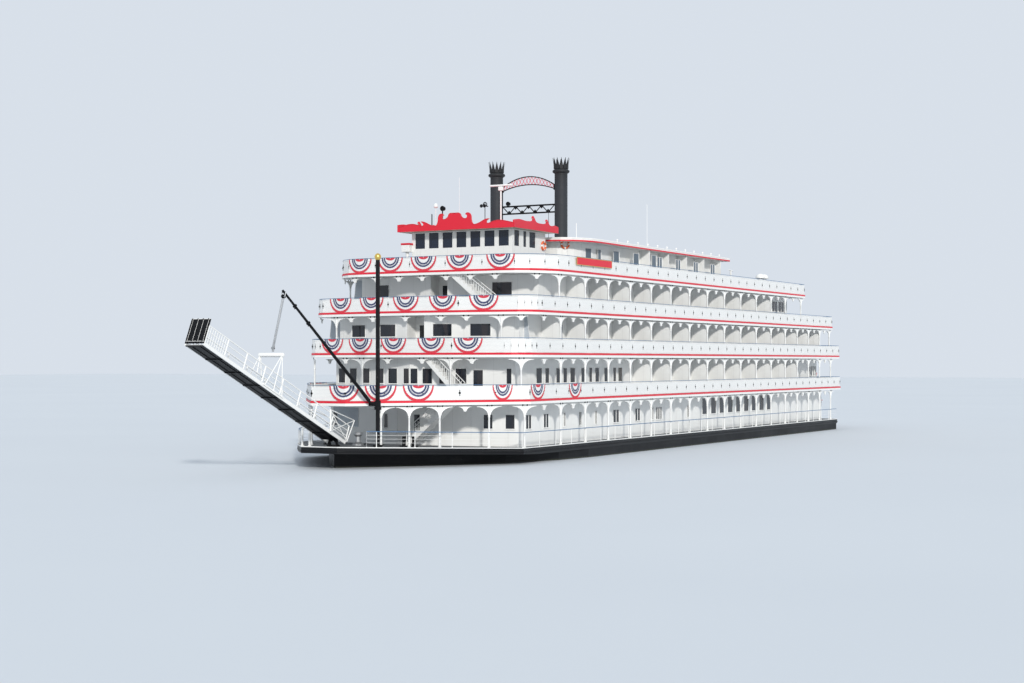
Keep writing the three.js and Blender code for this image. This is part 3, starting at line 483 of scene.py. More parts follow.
def hull_black():
    finish = Finish("black_hull_paint", roughness=0.42, shine=0.2)
    place, _ = finish.coordinates()
    weld = place.x.line_every(0.6, 0.004).math("MAXIMUM", place.z.line_every(0.145, 0.003))
    scuffs = finish.noise(7, 5, (0.35, 1, 4)).between(0.58, 0.74)
    runs = finish.noise(11, 4, (1, 1, 0.08)).between(0.56, 0.8)
    scum = 1 - place.z.between(WATERLINE + 0.002, WATERLINE + 0.016)
    finish.layers(BLACK, (scuffs * 0.3, (0.035, 0.035, 0.034)), (runs * 0.25, (0.03, 0.026, 0.022)),
                  (scum * 0.6, (0.06, 0.065, 0.05)))
    finish.set("Roughness", 0.34 + finish.noise(5, 3) * 0.25)
    waves = finish.noise(3.5, 2)
    return finish.relief(waves * 0.8 + weld * 0.5, 0.003, 0.6).material


def deck_paint():
    finish = Finish("grey_deck_paint", roughness=0.7)
    place, facing = finish.coordinates()
    top = facing.z > 0.5
    grit = finish.noise(420, 2)
    worn = finish.noise(3, 4).between(0.4, 0.75)
    seam = place.x.line_every(0.25, 0.002).math("MAXIMUM", place.y.line_every(0.15, 0.002))
    grey = finish.mix(worn * 0.5, (0.19, 0.20, 0.21), (0.27, 0.28, 0.285))
    seamed = finish.mix(seam * 0.5, grey, (0.09, 0.095, 0.10))
    finish.set("Base Color", finish.mix(top, shade(WHITE, 0.92), seamed))
    finish.set("Roughness", 0.5 + top * 0.28)
    return finish.relief((grit * 0.5 - seam) * top, 0.0012, 0.6).material


def main_deck_paint():
    """Grey on top, black on the thick guard round its edge, which tugs and lock walls scrape bare."""
    finish = Finish("main_deck_paint", roughness=0.6, shine=0.3)
    _, facing = finish.coordinates()
    top = facing.z > 0.5
    scrapes = finish.noise(9, 5, (0.2, 0.2, 5)).between(0.57, 0.7)
    edge = finish.mix(scrapes * 0.35, BLACK, (0.05, 0.048, 0.045))
    worn = finish.noise(3, 4).between(0.4, 0.75)
    grey = finish.mix(worn * 0.5, (0.16, 0.17, 0.18), (0.23, 0.235, 0.24))
    finish.set("Base Color", finish.mix(top, edge, grey))
    finish.set("Roughness", 0.42 + top * 0.3)
    return finish.relief(finish.noise(420, 2) * top + finish.noise(5, 2) * (1 - top), 0.0015, 0.5).material


HULL_BLACK = hull_black()
DECK_PAINT = deck_paint()
MAIN_DECK_PAINT = main_deck_paint()
print("hull and deck finishes made")

# %% [markdown]
# The bright pieces carry the boat's character: signal red on the roofs, deck lines and wheel, charcoal on
# the chimneys, slate blue on the hand rails. Each is gloss paint with some depth to its colour. Sun fades
# red unevenly, and heat dulls the chimneys towards their tops.

# %% Coloured paints
RED = (0.66, 0.008, 0.028)


def faded_red(finish):
    """Signal red that the sun has faded in places."""
    fade = finish.noise(3, 4).between(0.35, 0.8)
    return finish.mix(fade * 0.5, RED, (0.72, 0.020, 0.045))


def bright_red():
    finish = Finish("signal_red_paint", roughness=0.42)
    finish.set("Base Color", faded_red(finish))
    finish.set("Roughness", 0.3 + finish.noise(8, 3) * 0.2)
    return finish.relief(finish.noise(50, 3), 0.0005, 0.4).material


def wheel_red():
    """Red paint over planks. The wet lower part of a wheel weathers, so the grain shows through in places."""
    finish = Finish("weathered_wheel_red", roughness=0.5)
    grain = finish.noise(14, 6, (6, 0.35, 6))
    worn = finish.noise(6, 5).between(0.55, 0.75)
    finish.layers((0.42, 0.018, 0.026), (grain * 0.4, (0.52, 0.04, 0.045)), (worn * 0.5, (0.22, 0.12, 0.09)))
    finish.set("Roughness", 0.42 + worn * 0.3)
    return finish.relief(grain, 0.0022, 0.6).material


def charcoal():
    finish = Finish("charcoal_chimney_paint", roughness=0.6, shine=0.3)
    place, _ = finish.coordinates()
    soot = place.z.between(2.25, 2.5)
    bands = place.z.line_every(0.06, 0.0015)
    runs = finish.noise(12, 4, (1, 1, 0.1)).between(0.5, 0.8)
    finish.layers((0.030, 0.034, 0.040), (runs * 0.4, (0.060, 0.064, 0.068)),
                  (soot * 0.7, (0.012, 0.012, 0.012)))
    finish.set("Roughness", 0.48 + finish.noise(20, 3) * 0.25)
    return finish.relief(finish.noise(70, 3) * 0.4 - bands, 0.001, 0.6).material


def fitting_black():
    finish = Finish("black_fittings", roughness=0.38, shine=0.15)
    chips = finish.noise(45, 5).between(0.64, 0.72)
    finish.layers((0.0055, 0.006, 0.0075), (chips * 0.6, (0.05, 0.045, 0.04)))
    finish.set("Roughness", 0.3 + finish.noise(12, 3) * 0.25)
    return finish.relief(finish.noise(60, 3), 0.0006, 0.4).material


def bare_steel():
    finish = Finish("galvanised_steel", roughness=0.45, metallic=0.9)
    spangle = finish.noise(70, 4)
    finish.layers((0.33, 0.34, 0.35), (spangle, (0.52, 0.53, 0.54)))
    finish.set("Roughness", 0.35 + spangle * 0.25)
    return finish.relief(spangle, 0.0004, 0.4).material


def beam_grey():
    finish = Finish("grey_beam_paint", roughness=0.6)
    rust = finish.noise(18, 5).between(0.62, 0.74)
    finish.layers((0.10, 0.105, 0.11), (rust * 0.7, (0.16, 0.07, 0.035)))
    return finish.relief(finish.noise(40, 4), 0.001, 0.5).material


BRIGHT_RED = bright_red()
WHEEL_RED = wheel_red()
CHARCOAL = charcoal()
FITTING_BLACK = fitting_black()
SLATE_BLUE = drifting("slate_blue_rails", (0.045, 0.12, 0.24), (0.08, 0.18, 0.33), (9, 3),
                      ((80, 2), 0.0003, 0.3), roughness=0.4)
STEEL = bare_steel()
GILT = drifting("gilt_paint", (0.80, 0.52, 0.12), (0.92, 0.66, 0.2), (30, 3),
                ((60, 2), 0.0003, 0.3), roughness=0.28, metallic=1.0)
BEAM_GREY = beam_grey()
print("coloured finishes made")

# %% [markdown]
# By day a ship's windows look dark, because the rooms behind are dimmer than the sky. The glass is
# therefore a near-black smooth surface that mirrors the light, with dim curtains showing faintly in places.

# %% Window glass


def window_glass():
    finish = Finish("window_glass", roughness=0.08)
    curtain = finish.noise(14, 2, (1, 1, 0.15)).between(0.5, 0.62)
    finish.layers((0.008, 0.011, 0.018), (curtain * 0.7, (0.034, 0.028, 0.030)))
    finish.set("Roughness", 0.06 + curtain * 0.12)
    return finish.relief(finish.noise(3, 1), 0.0004, 0.3).material


WINDOW_GLASS = window_glass()
print("glass made")

# %% [markdown]
# A boat afloat shows only what is above the water, so the studio floor lies at its waterline. The floor is
# one large pale plane, so wide that its far edge fades into the sky.

# %% The floor at the waterline
FLOOR_HALF = 60


def studio_floor():
    bpy.ops.object.select_all(action="DESELECT")
    bpy.ops.mesh.primitive_plane_add(size=2 * FLOOR_HALF, location=(0, 0, WATERLINE))
    floor = bpy.context.object
    floor.name = "studio_floor"
    floor.data.materials.append(drifting("pale_studio_floor", (0.60, 0.64, 0.68), (0.64, 0.68, 0.715),
                                         (0.35, 3), ((40, 2), 0.0005, 0.2), roughness=0.75))
    settled(floor, "studio_floor")


studio_floor()
print("floor at z =", WATERLINE)

# %% [markdown]
# The photograph was taken under a sun off the port bow, with much light from the sky. The shadows of the
# columns on the house walls gave its direction. One soft sun lamp plays it and a pale world plays the sky,
# so shadows under the decks stay open and grey.

# %% Studio light
SKY_COLOUR, SKY_STRENGTH = (0.84, 0.91, 1.0), 0.82
SUN_COLOUR, SUN_STRENGTH = (1.0, 0.97, 0.92), 2.5
SUN_TRAVEL = (-0.695, -0.594, -0.404)
SUN_WIDTH = 4  # degrees; a wider sun has softer shadows


def studio_light():
    world = bpy.data.worlds.new("studio_sky")
    world.use_nodes = True
    background = world.node_tree.nodes["Background"]
    background.inputs["Color"].default_value = shade(SKY_COLOUR)
    background.inputs["Strength"].default_value = SKY_STRENGTH
    bpy.context.scene.world = world
    sun_data = bpy.data.lights.new("soft_sun", "SUN")
    sun_data.energy = SUN_STRENGTH
    sun_data.angle = math.radians(SUN_WIDTH)
    sun_data.color = SUN_COLOUR
    sun = bpy.data.objects.new("soft_sun", sun_data)
    sun.rotation_euler = Vector(SUN_TRAVEL).to_track_quat("-Z", "Y").to_euler()
    bpy.context.scene.collection.objects.link(sun)


studio_light()
bpy.context.scene.view_settings.view_transform = "Standard"
print("sky and one soft sun")

# %% [markdown]
# Every CAD node that keeps its own shape now gets its finish. Decks, houses and roofs are right as they
# stand.

# %% Finishes of the carried-over nodes


def finished(finish, *nodes):
    """Gives these CAD nodes one finish."""
    for node in nodes:
        coated(bpy.data.objects[node].data, finish)


SIDES = {"port": 1, "starboard": -1}
finished(HULL_BLACK, "hull")
finished(MAIN_DECK_PAINT, "main_deck", "main_deck_fore")
finished(DECK_PAINT, *(f"deck_{level}" for level in (2, 3, 4, 5)))
finished(WALL_WHITE, "house_main", "house_2", "house_3", "house_4", "top_house", "top_roof", "pilothouse")
finished(WALL_WHITE, *(f"partitions_{level}_{side}" for level in (2, 3, 4) for side in SIDES))
finished(TRIM_WHITE, "stair_main", "stair_2", "stair_4", "stage_portal")
finished(BRIGHT_RED, "pilothouse_roof", "chimney_arch")  # both are dressed over below
finished(CHARCOAL, "chimney_port", "chimney_starboard", "chimney_truss")
finished(FITTING_BLACK, "bitts_port", "bitts_starboard", "mast", "boom_collar", "boom", "stage_turntable",
         "stage_flap", "rudder_port", "rudder_starboard")
finished(STEEL, "capstan", "hoist_wire")
finished(BEAM_GREY, "wheel_beam_port", "wheel_beam_starboard")
finished(WHEEL_RED, "paddle_wheel")
finished(RAIL_WHITE, *(f"rail_deck_{level}" for level in (2, 3, 4, 5)), "rail_deck_3_front",
         "rail_deck_4_front")
finished(TRIM_WHITE, "rail_main_port", "rail_main_starboard", "stage")
finished(TRIM_WHITE, *(f"colonnade_{level}_{side}" for level in ("main", 2, 3, 4) for side in SIDES))
print("finishes given to", len(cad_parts), "nodes")

# %% [markdown]
# Ornament on a river steamer repeats along the edges of her decks, and those edges bend round the bow. So
# each run of rails, stripes and columns is laid along the deck's own outline: the outermost corners of the
# CAD deck, seen from above. A pattern is modelled once, lying along X with its outer face towards -Y, and a
# matrix lays it on each stretch of the outline.

# %% Deck outlines and the matrices that follow them
MAIN_DECK_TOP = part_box("house_main")[0].z
SHEER_START = 2.6  # forward of this the main deck rises to the bow
SHEER_SLOPE = 0.0308
DECK_THICK = 0.03


def sheer(x):
    """How far the main deck has risen at this place along the boat."""
    return max(0.0, x - SHEER_START) * SHEER_SLOPE


def deck_top(level, x=0.0):
    """The height of a deck's upper side. Only the main deck, level 1, has sheer."""
    if level == 1:
        return MAIN_DECK_TOP + sheer(x)
    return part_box(f"deck_{level}")[1].z


def moved_in(line, distance):
    """An outline moved inwards by the distance, with its corners kept sharp."""
    corners = []
    for i, point in enumerate(line):
        before = (point - line[i - 1]).normalized()
        after = (line[(i + 1) % len(line)] - point).normalized()
        inwards = Vector((-before.y - after.y, before.x + after.x))
        corners.append(point + inwards * (2 * distance / inwards.length_squared))
    return corners


def outline(nodes, inset=0.0):
    """The corners of one node or more seen from above, counterclockwise, moved in by the inset."""
    nodes = (nodes,) if isinstance(nodes, str) else nodes
    places = sorted({(round(vert.co.x, 5), round(vert.co.y, 5))
                     for node in nodes for vert in bpy.data.objects[node].data.vertices})
    hull = [Vector(places[i]) for i in convex_hull_2d([Vector(place) for place in places])]
    if sum(a.x * b.y - b.x * a.y for a, b in zip(hull, hull[1:] + hull[:1])) < 0:
        hull.reverse()
    corners = []
    for i, point in enumerate(hull):
        before = (point - hull[i - 1]).normalized()
        after = (hull[(i + 1) % len(hull)] - point).normalized()
        if before.cross(after) > 0.01:
            corners.append(point)
    return moved_in(corners, inset)


def sides_of(line):
    return list(zip(line, line[1:] + line[:1]))


def laid(start, end, level, width):
    """The matrix that lays a pattern of this width on a deck from one point to the next."""
    low = Vector((*start, deck_top(level, start.x)))
    high = Vector((*end, deck_top(level, end.x)))
    run = high - low
    flat = math.hypot(run.x, run.y)
    matrix = Matrix.Translation((low + high) / 2)
    matrix.col[0] = (*run / width, 0)
    matrix.col[1] = (-run.y / flat, run.x / flat, 0, 0)
    return matrix


def spans(line, pitch, level, width, wanted=lambda middle: True):
    """A matrix for each span of about this pitch along an outline whose middle is wanted."""
    moves = []
    for start, end in sides_of(line):
        count = max(1, round((end - start).length / pitch))
        for step in range(count):
            first, last = start.lerp(end, step / count), start.lerp(end, (step + 1) / count)
            if wanted((first + last) / 2):
                moves.append(laid(first, last, level, width))
    return moves


def level_line(x):
    """No rise anywhere, for a strip on a level deck."""
    return 0.0


def strip(name, line, low, high, thick, rise=level_line):
    """A band that follows an outline between two heights, half its thickness to each side of the line."""
    piece = loop_of([(*point, low + rise(point.x)) for point in line])
    edited(piece)
    extruded((0, 0, high - low))
    done(piece)
    applied(piece, "SOLIDIFY", thickness=thick, offset=0, use_even_offset=True)
    outward(piece)
    return settled(bevelled(piece, min(thick, high - low) * 0.2), name)


def pipe(name, points, radius, sides=8, closed=True):
    """A round pipe through points."""
    piece = loop_of(points)
    if not closed:
        last = {0, len(points) - 1}
        chosen(piece, "EDGE", lambda edge: set(edge.vertices) == last)
        bpy.ops.mesh.delete(type="EDGE")
        done(piece)
    only(piece)
    bpy.ops.object.convert(target="CURVE")
    piece = bpy.context.object
    piece.data.bevel_depth = radius
    piece.data.bevel_resolution = sides // 4 - 1 if sides > 4 else 0
    piece.data.use_fill_caps = True
    bpy.ops.object.convert(target="MESH")
    return settled(smoothed(bpy.context.object, 50), name)


print("deck 2 has", len(outline("deck_2")), "corners, deck 5 has", len(outline("deck_5")))

# %% [markdown]
# The guard rails are panels of pressed white sheet between posts. An iron baluster with a diamond at its
# middle stands at each joint; its black is painted shade, the dark seen through the slot between two
# panels. A slate-blue pipe runs above the panels as the hand rail. One panel is a thin box whose two faces
# are inset and pushed in, which leaves a raised border. Copies of it go round each deck.

# %% Guard rails of the upper decks
FORWARD = Matrix.Rotation(math.pi / 2, 4, "Y")  # lays a standing piece down, its top towards the bow
PANEL_WIDTH = 0.1965  # half a bay between columns
PANEL_TOP = 0.095
HAND_RAIL = 0.105
RAIL_INSET = 0.006


def turned(name, profile, sides=12, place=Matrix.Identity(4)):
    """A round piece: a disc extruded and scaled from each radius and height to the next, then placed."""
    radius, height = profile[0]
    bpy.ops.object.select_all(action="DESELECT")
    bpy.ops.mesh.primitive_circle_add(vertices=sides, radius=radius, fill_type="NGON",
                                      location=(0, 0, height))
    piece = bpy.context.object
    bpy.ops.object.transform_apply(location=True)
    edited(piece)
    for next_radius, next_height in profile[1:]:
        extruded((0, 0, next_height - height))
        growth = next_radius / radius
        bpy.ops.transform.resize(value=(growth, growth, 1), center_override=(0, 0, next_height))
        radius, height = next_radius, next_height
    done(piece)
    return moved(settled(outward(piece), name), place)


# A real baluster; its black is painted shade, the dark seen through the slot between two panels.
def iron_baluster(x):
    profile = [(0.0034, 0.030), (0.0034, 0.042), (0.0085, 0.051), (0.0034, 0.060), (0.0034, 0.072)]
    return painted(turned("baluster", profile, 4, placed(x, 0, 0, size=(1, 0.8, 1))), FITTING_BLACK)


def rail_panel():
    half = PANEL_WIDTH / 2
    panel = block("panel", (-half, -0.0015, 0.003), (half, 0.0015, PANEL_TOP))
    chosen(panel, "FACE", lambda face: abs(face.normal.y) > 0.9)
    bpy.ops.mesh.inset(thickness=0.0045, depth=-0.0007, use_individual=True)
    done(panel)
    cap = soft_block("cap", (-half, -0.0028, PANEL_TOP), (half, 0.0028, PANEL_TOP + 0.0025), 0.0008)
    stub = rod("stub", (-half, 0, PANEL_TOP), (-half, 0, HAND_RAIL), 0.0014, 6)
    return joined("rail_panel", [painted(panel, RAIL_WHITE), iron_baluster(-half), painted(cap, TRIM_WHITE),
                                 painted(stub, TRIM_WHITE)])


for level in (2, 3, 4, 5):
    line = outline(f"deck_{level}", RAIL_INSET)
    panels = repeated(f"rail_panels_deck_{level}", rail_panel(), spans(line, PANEL_WIDTH, level, PANEL_WIDTH))
    nodes = [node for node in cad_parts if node.startswith(f"rail_deck_{level}")]
    mounted(panels, None, replacing=nodes)
    height = deck_top(level) + HAND_RAIL
    hand_rail = pipe(f"hand_rail_deck_{level}", [(*point, height) for point in line], 0.0021)
    mounted(hand_rail, SLATE_BLUE)
    print("deck", level, "rail:", len(panels.data.polygons), "faces")

# %% [markdown]
# The main deck has open rails, so that the crew can hand lines over the side: steel posts, three thin bars
# and the same blue pipe on top. It follows the sheer, so each bay is laid with its ends at two heights.

# %% Open rails of the main deck
BAY_WIDTH = 0.245
MAIN_RAIL_START = 3.74  # the rails end here, beside the heel of the stage
MAIN_RAIL_INSET = 0.008
OPEN_RAIL = 0.104  # height of the posts and of the hand rail's middle


def half_line(line, side, front, back):
    """The stretch of an outline on one side between two places along the boat, from the bow to the stern."""
    path = [point for point in line if point.y * side > 0 and back < point.x < front]
    path.sort(key=lambda point: -point.x)
    for start, end in sides_of(line):
        for limit in (front, back):
            if (start.x - limit) * (end.x - limit) < 0 and (start.y + end.y) * side > 0:
                crossing = start.lerp(end, (limit - start.x) / (end.x - start.x))
                path.insert(0 if limit == front else len(path), crossing)
    return path


def rail_bay():
    half = BAY_WIDTH / 2
    bars = [rod("bar", (-half, 0, height), (half, 0, height), 0.0009, 6) for height in (0.03, 0.055, 0.08)]
    profile = [(0.006, 0), (0.006, 0.003), (0.0026, 0.004), (0.0026, OPEN_RAIL)]
    post = turned("post", profile, 8, placed(-half, 0, 0))
    return joined("rail_bay", [*bars, post])


main_line = outline(("main_deck", "main_deck_fore"), MAIN_RAIL_INSET)
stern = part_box("main_deck")[0].x + MAIN_RAIL_INSET
for name, side in SIDES.items():
    path = half_line(main_line, side, MAIN_RAIL_START, stern)
    ways = list(zip(path, path[1:])) if side > 0 else [(end, start) for start, end in zip(path, path[1:])]
    moves = []
    for start, end in ways:
        count = max(1, round((end - start).length / BAY_WIDTH))
        ends = [start.lerp(end, step / count) for step in range(count + 1)]
        moves += [laid(first, last, 1, BAY_WIDTH) for first, last in zip(ends, ends[1:])]
    rail = repeated(f"open_rail_{name}", rail_bay(), moves)
    mounted(rail, TRIM_WHITE, replacing=[f"rail_main_{name}"])
    points = [(*point, deck_top(1, point.x) + OPEN_RAIL) for point in path]
    top = pipe(f"open_hand_rail_{name}", points, 0.003, closed=False)
    mounted(top, SLATE_BLUE)
    print(name, "open rail:", len(moves), "bays")

# %% [markdown]
# Each deck wears a red line at its edge with a white moulding under it. They are flat steel bars on the
# real boat. Here each is the deck's outline, extruded upwards and given its thickness by Solidify.

# %% Red lines and white mouldings at the deck edges
roof_low, roof_high = (corner.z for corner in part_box("top_roof"))
main_edge = outline(("main_deck", "main_deck_fore"))
# name, outline, lower and upper edge, thickness, finish, slot, rise along the boat
STRIPS = []
for level in (2, 3, 4, 5):
    edge, top = outline(f"deck_{level}"), deck_top(level)
    STRIPS += [
        (f"red_line_deck_{level}", edge, top - 0.013, top + 0.0015, 0.004, BRIGHT_RED, "red_paint",
         level_line),
        (f"moulding_deck_{level}", edge, top - DECK_THICK - 0.001, top - 0.017, 0.0025, TRIM_WHITE,
         "white_paint", level_line),
    ]
STRIPS += [
    ("pale_line_main_deck", main_edge, MAIN_DECK_TOP - 0.005, MAIN_DECK_TOP + 0.001, 0.003, TRIM_WHITE,
     "white_paint", sheer),
    ("rub_bar_main_deck", main_edge, MAIN_DECK_TOP - 0.036, MAIN_DECK_TOP - 0.024, 0.007, HULL_BLACK,
     "hull_black", sheer),
    ("red_line_top_roof", outline("top_roof"), roof_low - 0.001, roof_low + 0.011, 0.004, BRIGHT_RED,
     "red_paint", level_line),
    ("gutter_top_roof", outline("top_roof"), roof_high - 0.008, roof_high + 0.002, 0.0035, TRIM_WHITE,
     "white_paint", level_line),
]
for name, edge, low, high, thick, finish, slot, rise in STRIPS:
    mounted(strip(name, edge, low, high, thick, rise), finish)
print(len(STRIPS), "strips follow the edges of the decks and the top roof")

# %% [markdown]
# The columns are turned posts with an arched bracket on each side, so a row of them reads as a row of
# arches. The bracket is a plate with an ellipse cut out of its corner by a boolean. Between the columns
# hang corbels, each with two small wings of the same bracket. Two round holes show in the header above each
# column and front corbel.

# %% A column, a corbel and a pair of header holes
COLUMN_HEIGHT = 0.294
HEADER_DEPTH = 0.014
COLUMN_INSET = 0.02
HEADER_INSET = 0.018
ARM_REACH = 0.085
ARM_DROP = 0.06
STAGE_CLEAR = 0.21  # no corbels hang over the heel of the stage, which rises there
HEADER_FACE = -0.008  # the header's outer face, from the middle of the column


def carved(piece, tool):
    """Cuts the tool's shape out of the piece."""
    applied(piece, "BOOLEAN", operation="DIFFERENCE", solver="EXACT", object=tool)
    bpy.data.objects.remove(tool)
    return piece


def arched_bracket():
    head = COLUMN_HEIGHT - HEADER_DEPTH
    start = 0.006
    end = 0.009 + ARM_REACH
    plate = block("bracket", (start, -0.0042, head - ARM_DROP), (end, 0.0042, head + 0.002))
    bpy.ops.object.select_all(action="DESELECT")
    bpy.ops.mesh.primitive_cylinder_add(vertices=40, radius=1, depth=0.05, rotation=(math.pi / 2, 0, 0),
                                        location=(end, 0, head - ARM_DROP - 0.0005))
    ellipse = bpy.context.object
    ellipse.scale = (ARM_REACH - 0.0005, ARM_DROP - 0.0015, 1)
    carved(plate, settled(ellipse, "ellipse"))
    chosen(plate, "FACE", lambda face: abs(face.normal.y) > 0.9)
    bpy.ops.mesh.inset(thickness=0.0022, depth=-0.0012, use_individual=True, use_even_offset=False)
    return done(plate)


# Each hole is a black disc on the header's face: its black is painted shade, the dark inside a hole.
def header_holes():
    return [painted(rod("hole", (x, HEADER_FACE - 0.001, COLUMN_HEIGHT - 0.007),
                        (x, HEADER_FACE + 0.001, COLUMN_HEIGHT - 0.007), 0.0058, 10), FITTING_BLACK)
            for x in (-0.0175, 0.0175)]


def column():
    neck = COLUMN_HEIGHT - HEADER_DEPTH - ARM_DROP
    shaft = turned("shaft", [(0.0115, 0), (0.0115, 0.006), (0.009, 0.009), (0.009, 0.018), (0.0072, 0.022),
                             (0.0064, neck - 0.016), (0.0085, neck - 0.012), (0.0085, neck - 0.007),
                             (0.0066, neck - 0.003), (0.0078, COLUMN_HEIGHT - HEADER_DEPTH)], 10)
    smoothed(shaft)
    bracket = arched_bracket()
    other = copied(bracket, Matrix.Scale(-1, 4, (1, 0, 0)))
    cap = soft_block("cap", (-0.0135, -0.0075, COLUMN_HEIGHT - HEADER_DEPTH - 0.008),
                         (0.0135, 0.0075, COLUMN_HEIGHT - HEADER_DEPTH), 0.0012)
    white = [painted(part, TRIM_WHITE) for part in (shaft, bracket, other, cap)]
    return joined("column", [*white, *header_holes()])


CORBEL_SCALE = (0.46, 1, 0.5)  # a corbel's wings are a column's brackets at about half size


def corbel(with_holes):
    head = COLUMN_HEIGHT - HEADER_DEPTH
    piece = block("corbel", (-0.017, -0.006, head - 0.03), (0.017, 0.006, head + 0.002))
    chosen(piece, "FACE", lambda face: face.normal.z < -0.9)
    bpy.ops.transform.resize(value=(0.5, 0.8, 1))
    bpy.ops.mesh.inset(thickness=0.002, depth=0.004)
    done(piece)
    parts = [painted(bevelled(piece, 0.0012), TRIM_WHITE)]
    for side in (1, -1):
        across, along, down = CORBEL_SCALE
        place = placed(side * 0.007, 0, head, size=(side * across, along, down)) @ placed(0, 0, -head)
        parts.append(painted(outward(moved(arched_bracket(), place)), TRIM_WHITE))
    return joined("corbel", parts + (header_holes() if with_holes else []))


# %% [markdown]
# The columns stand at even stations: twelve long bays, then four short ones to the stern. Under the bow the
# stations follow the vee of the deck above. Each is set on the line of the header at its place, on both
# sides of the boat.

# %% Columns along every deck
LONG_BAYS, LONG_BAY = 12, 0.393
SHORT_BAYS, SHORT_BAY = 4, 0.343
FIRST_STATION = 2.23
STATIONS = [FIRST_STATION - min(bay, LONG_BAYS) * LONG_BAY - max(0, bay - LONG_BAYS) * SHORT_BAY
            for bay in range(LONG_BAYS + SHORT_BAYS + 1)]
# level: columns across the front by their y, columns forward by their x, the last column by its x
COLUMN_PLACES = {
    1: ([], [3.595, 3.441, 3.267, 2.968, 2.74], -3.87),
    2: ([0.373], [2.74], -3.87),
    3: ([0.70], [], -3.82),
    4: ([], [], -2.94),
}


def on_line(line, level, axis, value, side):
    """The matrix at the place on one side of an outline where x (axis 0) or y (axis 1) has this value."""
    for start, end in sides_of(line):
        reach = end[axis] - start[axis]
        share = (value - start[axis]) / reach if abs(reach) > 1e-6 else -1
        point = start.lerp(end, share)
        if 0 <= share <= 1 and point.y * side > 0 and (axis == 0 or point.x > 0):
            step = (end - start).normalized() * 0.5
            return laid(point - step, point + step, level, 1.0)
    raise ValueError(f"no place at {value}")


def heading_of(move):
    """The way that a matrix turns the X axis, as an angle about Z."""
    return math.atan2(move.col[0].y, move.col[0].x)


def column_height(level, x):
    return deck_top(level + 1) - DECK_THICK - deck_top(level, x)


def stood(move, level):
    """The same place with its height stretched to reach from this deck to the next."""
    x = move.translation.x
    stretch = column_height(level, x) / COLUMN_HEIGHT
    return placed(*move.translation.xy, deck_top(level, x), heading_of(move), (1, 1, stretch))


for level, (across, forward, last) in COLUMN_PLACES.items():
    above = outline(f"deck_{level + 1}", COLUMN_INSET)
    reach = 2 * (ARM_REACH + 0.009)
    stations = [*forward, *(x for x in STATIONS if x >= last + reach), last]
    columns, pendants, front_corbels = [], [], []
    for side in (1, -1):
        columns += [on_line(above, level, 1, y * side, side) for y in across]
        columns += [on_line(above, level, 0, x, side) for x in stations]
        middles = [(a + b) / 2 for a, b in zip(stations, stations[1:]) if a - b > 0.28]
        pendants += [on_line(above, level, 0, x, side) for x in middles]
    fore = max(stations) + 0.08
    for move in spans(above, 0.1, level, 0.1, lambda middle: middle.x > fore):
        if level == 1 and abs(move.translation.y) < STAGE_CLEAR:
            continue
        others = [(other, 0.14) for other in columns] + [(other, 0.2) for other in front_corbels]
        if all((move.translation - other.translation).length > room for other, room in others):
            front_corbels.append(move)
    pieces = [repeated("columns", column(), [stood(move, level) for move in columns]),
              repeated("pendants", corbel(False), [stood(move, level) for move in pendants])]
    if front_corbels:
        pieces.append(repeated("corbels", corbel(True), [stood(move, level) for move in front_corbels]))
    under = deck_top(level + 1) - DECK_THICK
    header_line = outline(f"deck_{level + 1}", HEADER_INSET)
    header = strip("header", header_line, under - HEADER_DEPTH, under - 0.0004, 0.012)
    pieces.append(painted(header, TRIM_WHITE))
    name = "main" if level == 1 else str(level)
    colonnade = joined(f"columns_{name}", pieces)
    mounted(colonnade, None, replacing=[f"colonnade_{name}_{side}" for side in SIDES])
    print("level", level, "has", len(columns), "columns and", len(front_corbels), "front corbels")

# %% [markdown]
# Windows give a ship her scale, and this boat has some two hundred. Each is a thin frame that stands a
# little proud of the wall, with panes set back in it. One pattern of each kind is a box, cut into panes by
# bisect and inset face by face; its copies are stretched to the widths read from the photograph.

# %% Windows and doors as patterns
FRAME_PROUD = 0.004
PANE_BACK = -0.0028


def veranda_glass():
    finish = Finish("curtained_veranda_glass", roughness=0.1)
    place, _ = finish.coordinates()
    # The bands across the drawn curtain are painted shade of its folds, which are not modelled. Where no
    # curtain is drawn, the near-black glass is painted shade of the dim room behind.
    fold_shade = (place.x * 900).math("SINE") * 0.5 + 0.5
    drawn = finish.noise(6, 1, (1, 1, 0.02)).between(0.42, 0.5)
    cloth = finish.mix(fold_shade * 0.5, (0.30, 0.31, 0.36), (0.20, 0.21, 0.25))
    finish.set("Base Color", finish.mix(drawn, (0.02, 0.026, 0.035), cloth))
    finish.set("Roughness", 0.07 + drawn * 0.1)
    return finish.relief(finish.noise(3, 1), 0.0004, 0.2).material


def slatted_grey():
    finish = Finish("grey_louvres", roughness=0.5)
    place, _ = finish.coordinates()
    slat = (place.z / 0.008).math("FRACT")
    # The dark band at the top of each stripe, just under the next blade, is painted shade under that blade.
    finish.set("Base Color", finish.mix(slat.between(0.55, 0.95), (0.54, 0.59, 0.64), (0.24, 0.27, 0.30)))
    return finish.relief(1 - slat, 0.003, 0.8).material


VERANDA_GLASS = veranda_glass()
TINTED_GLASS = drifting("tinted_door_glass", (0.05, 0.075, 0.10), (0.13, 0.17, 0.21), (12, 2, (1, 1, 0.1)),
                        ((3, 1), 0.0004, 0.2), roughness=0.1)
SLATTED_GREY = slatted_grey()


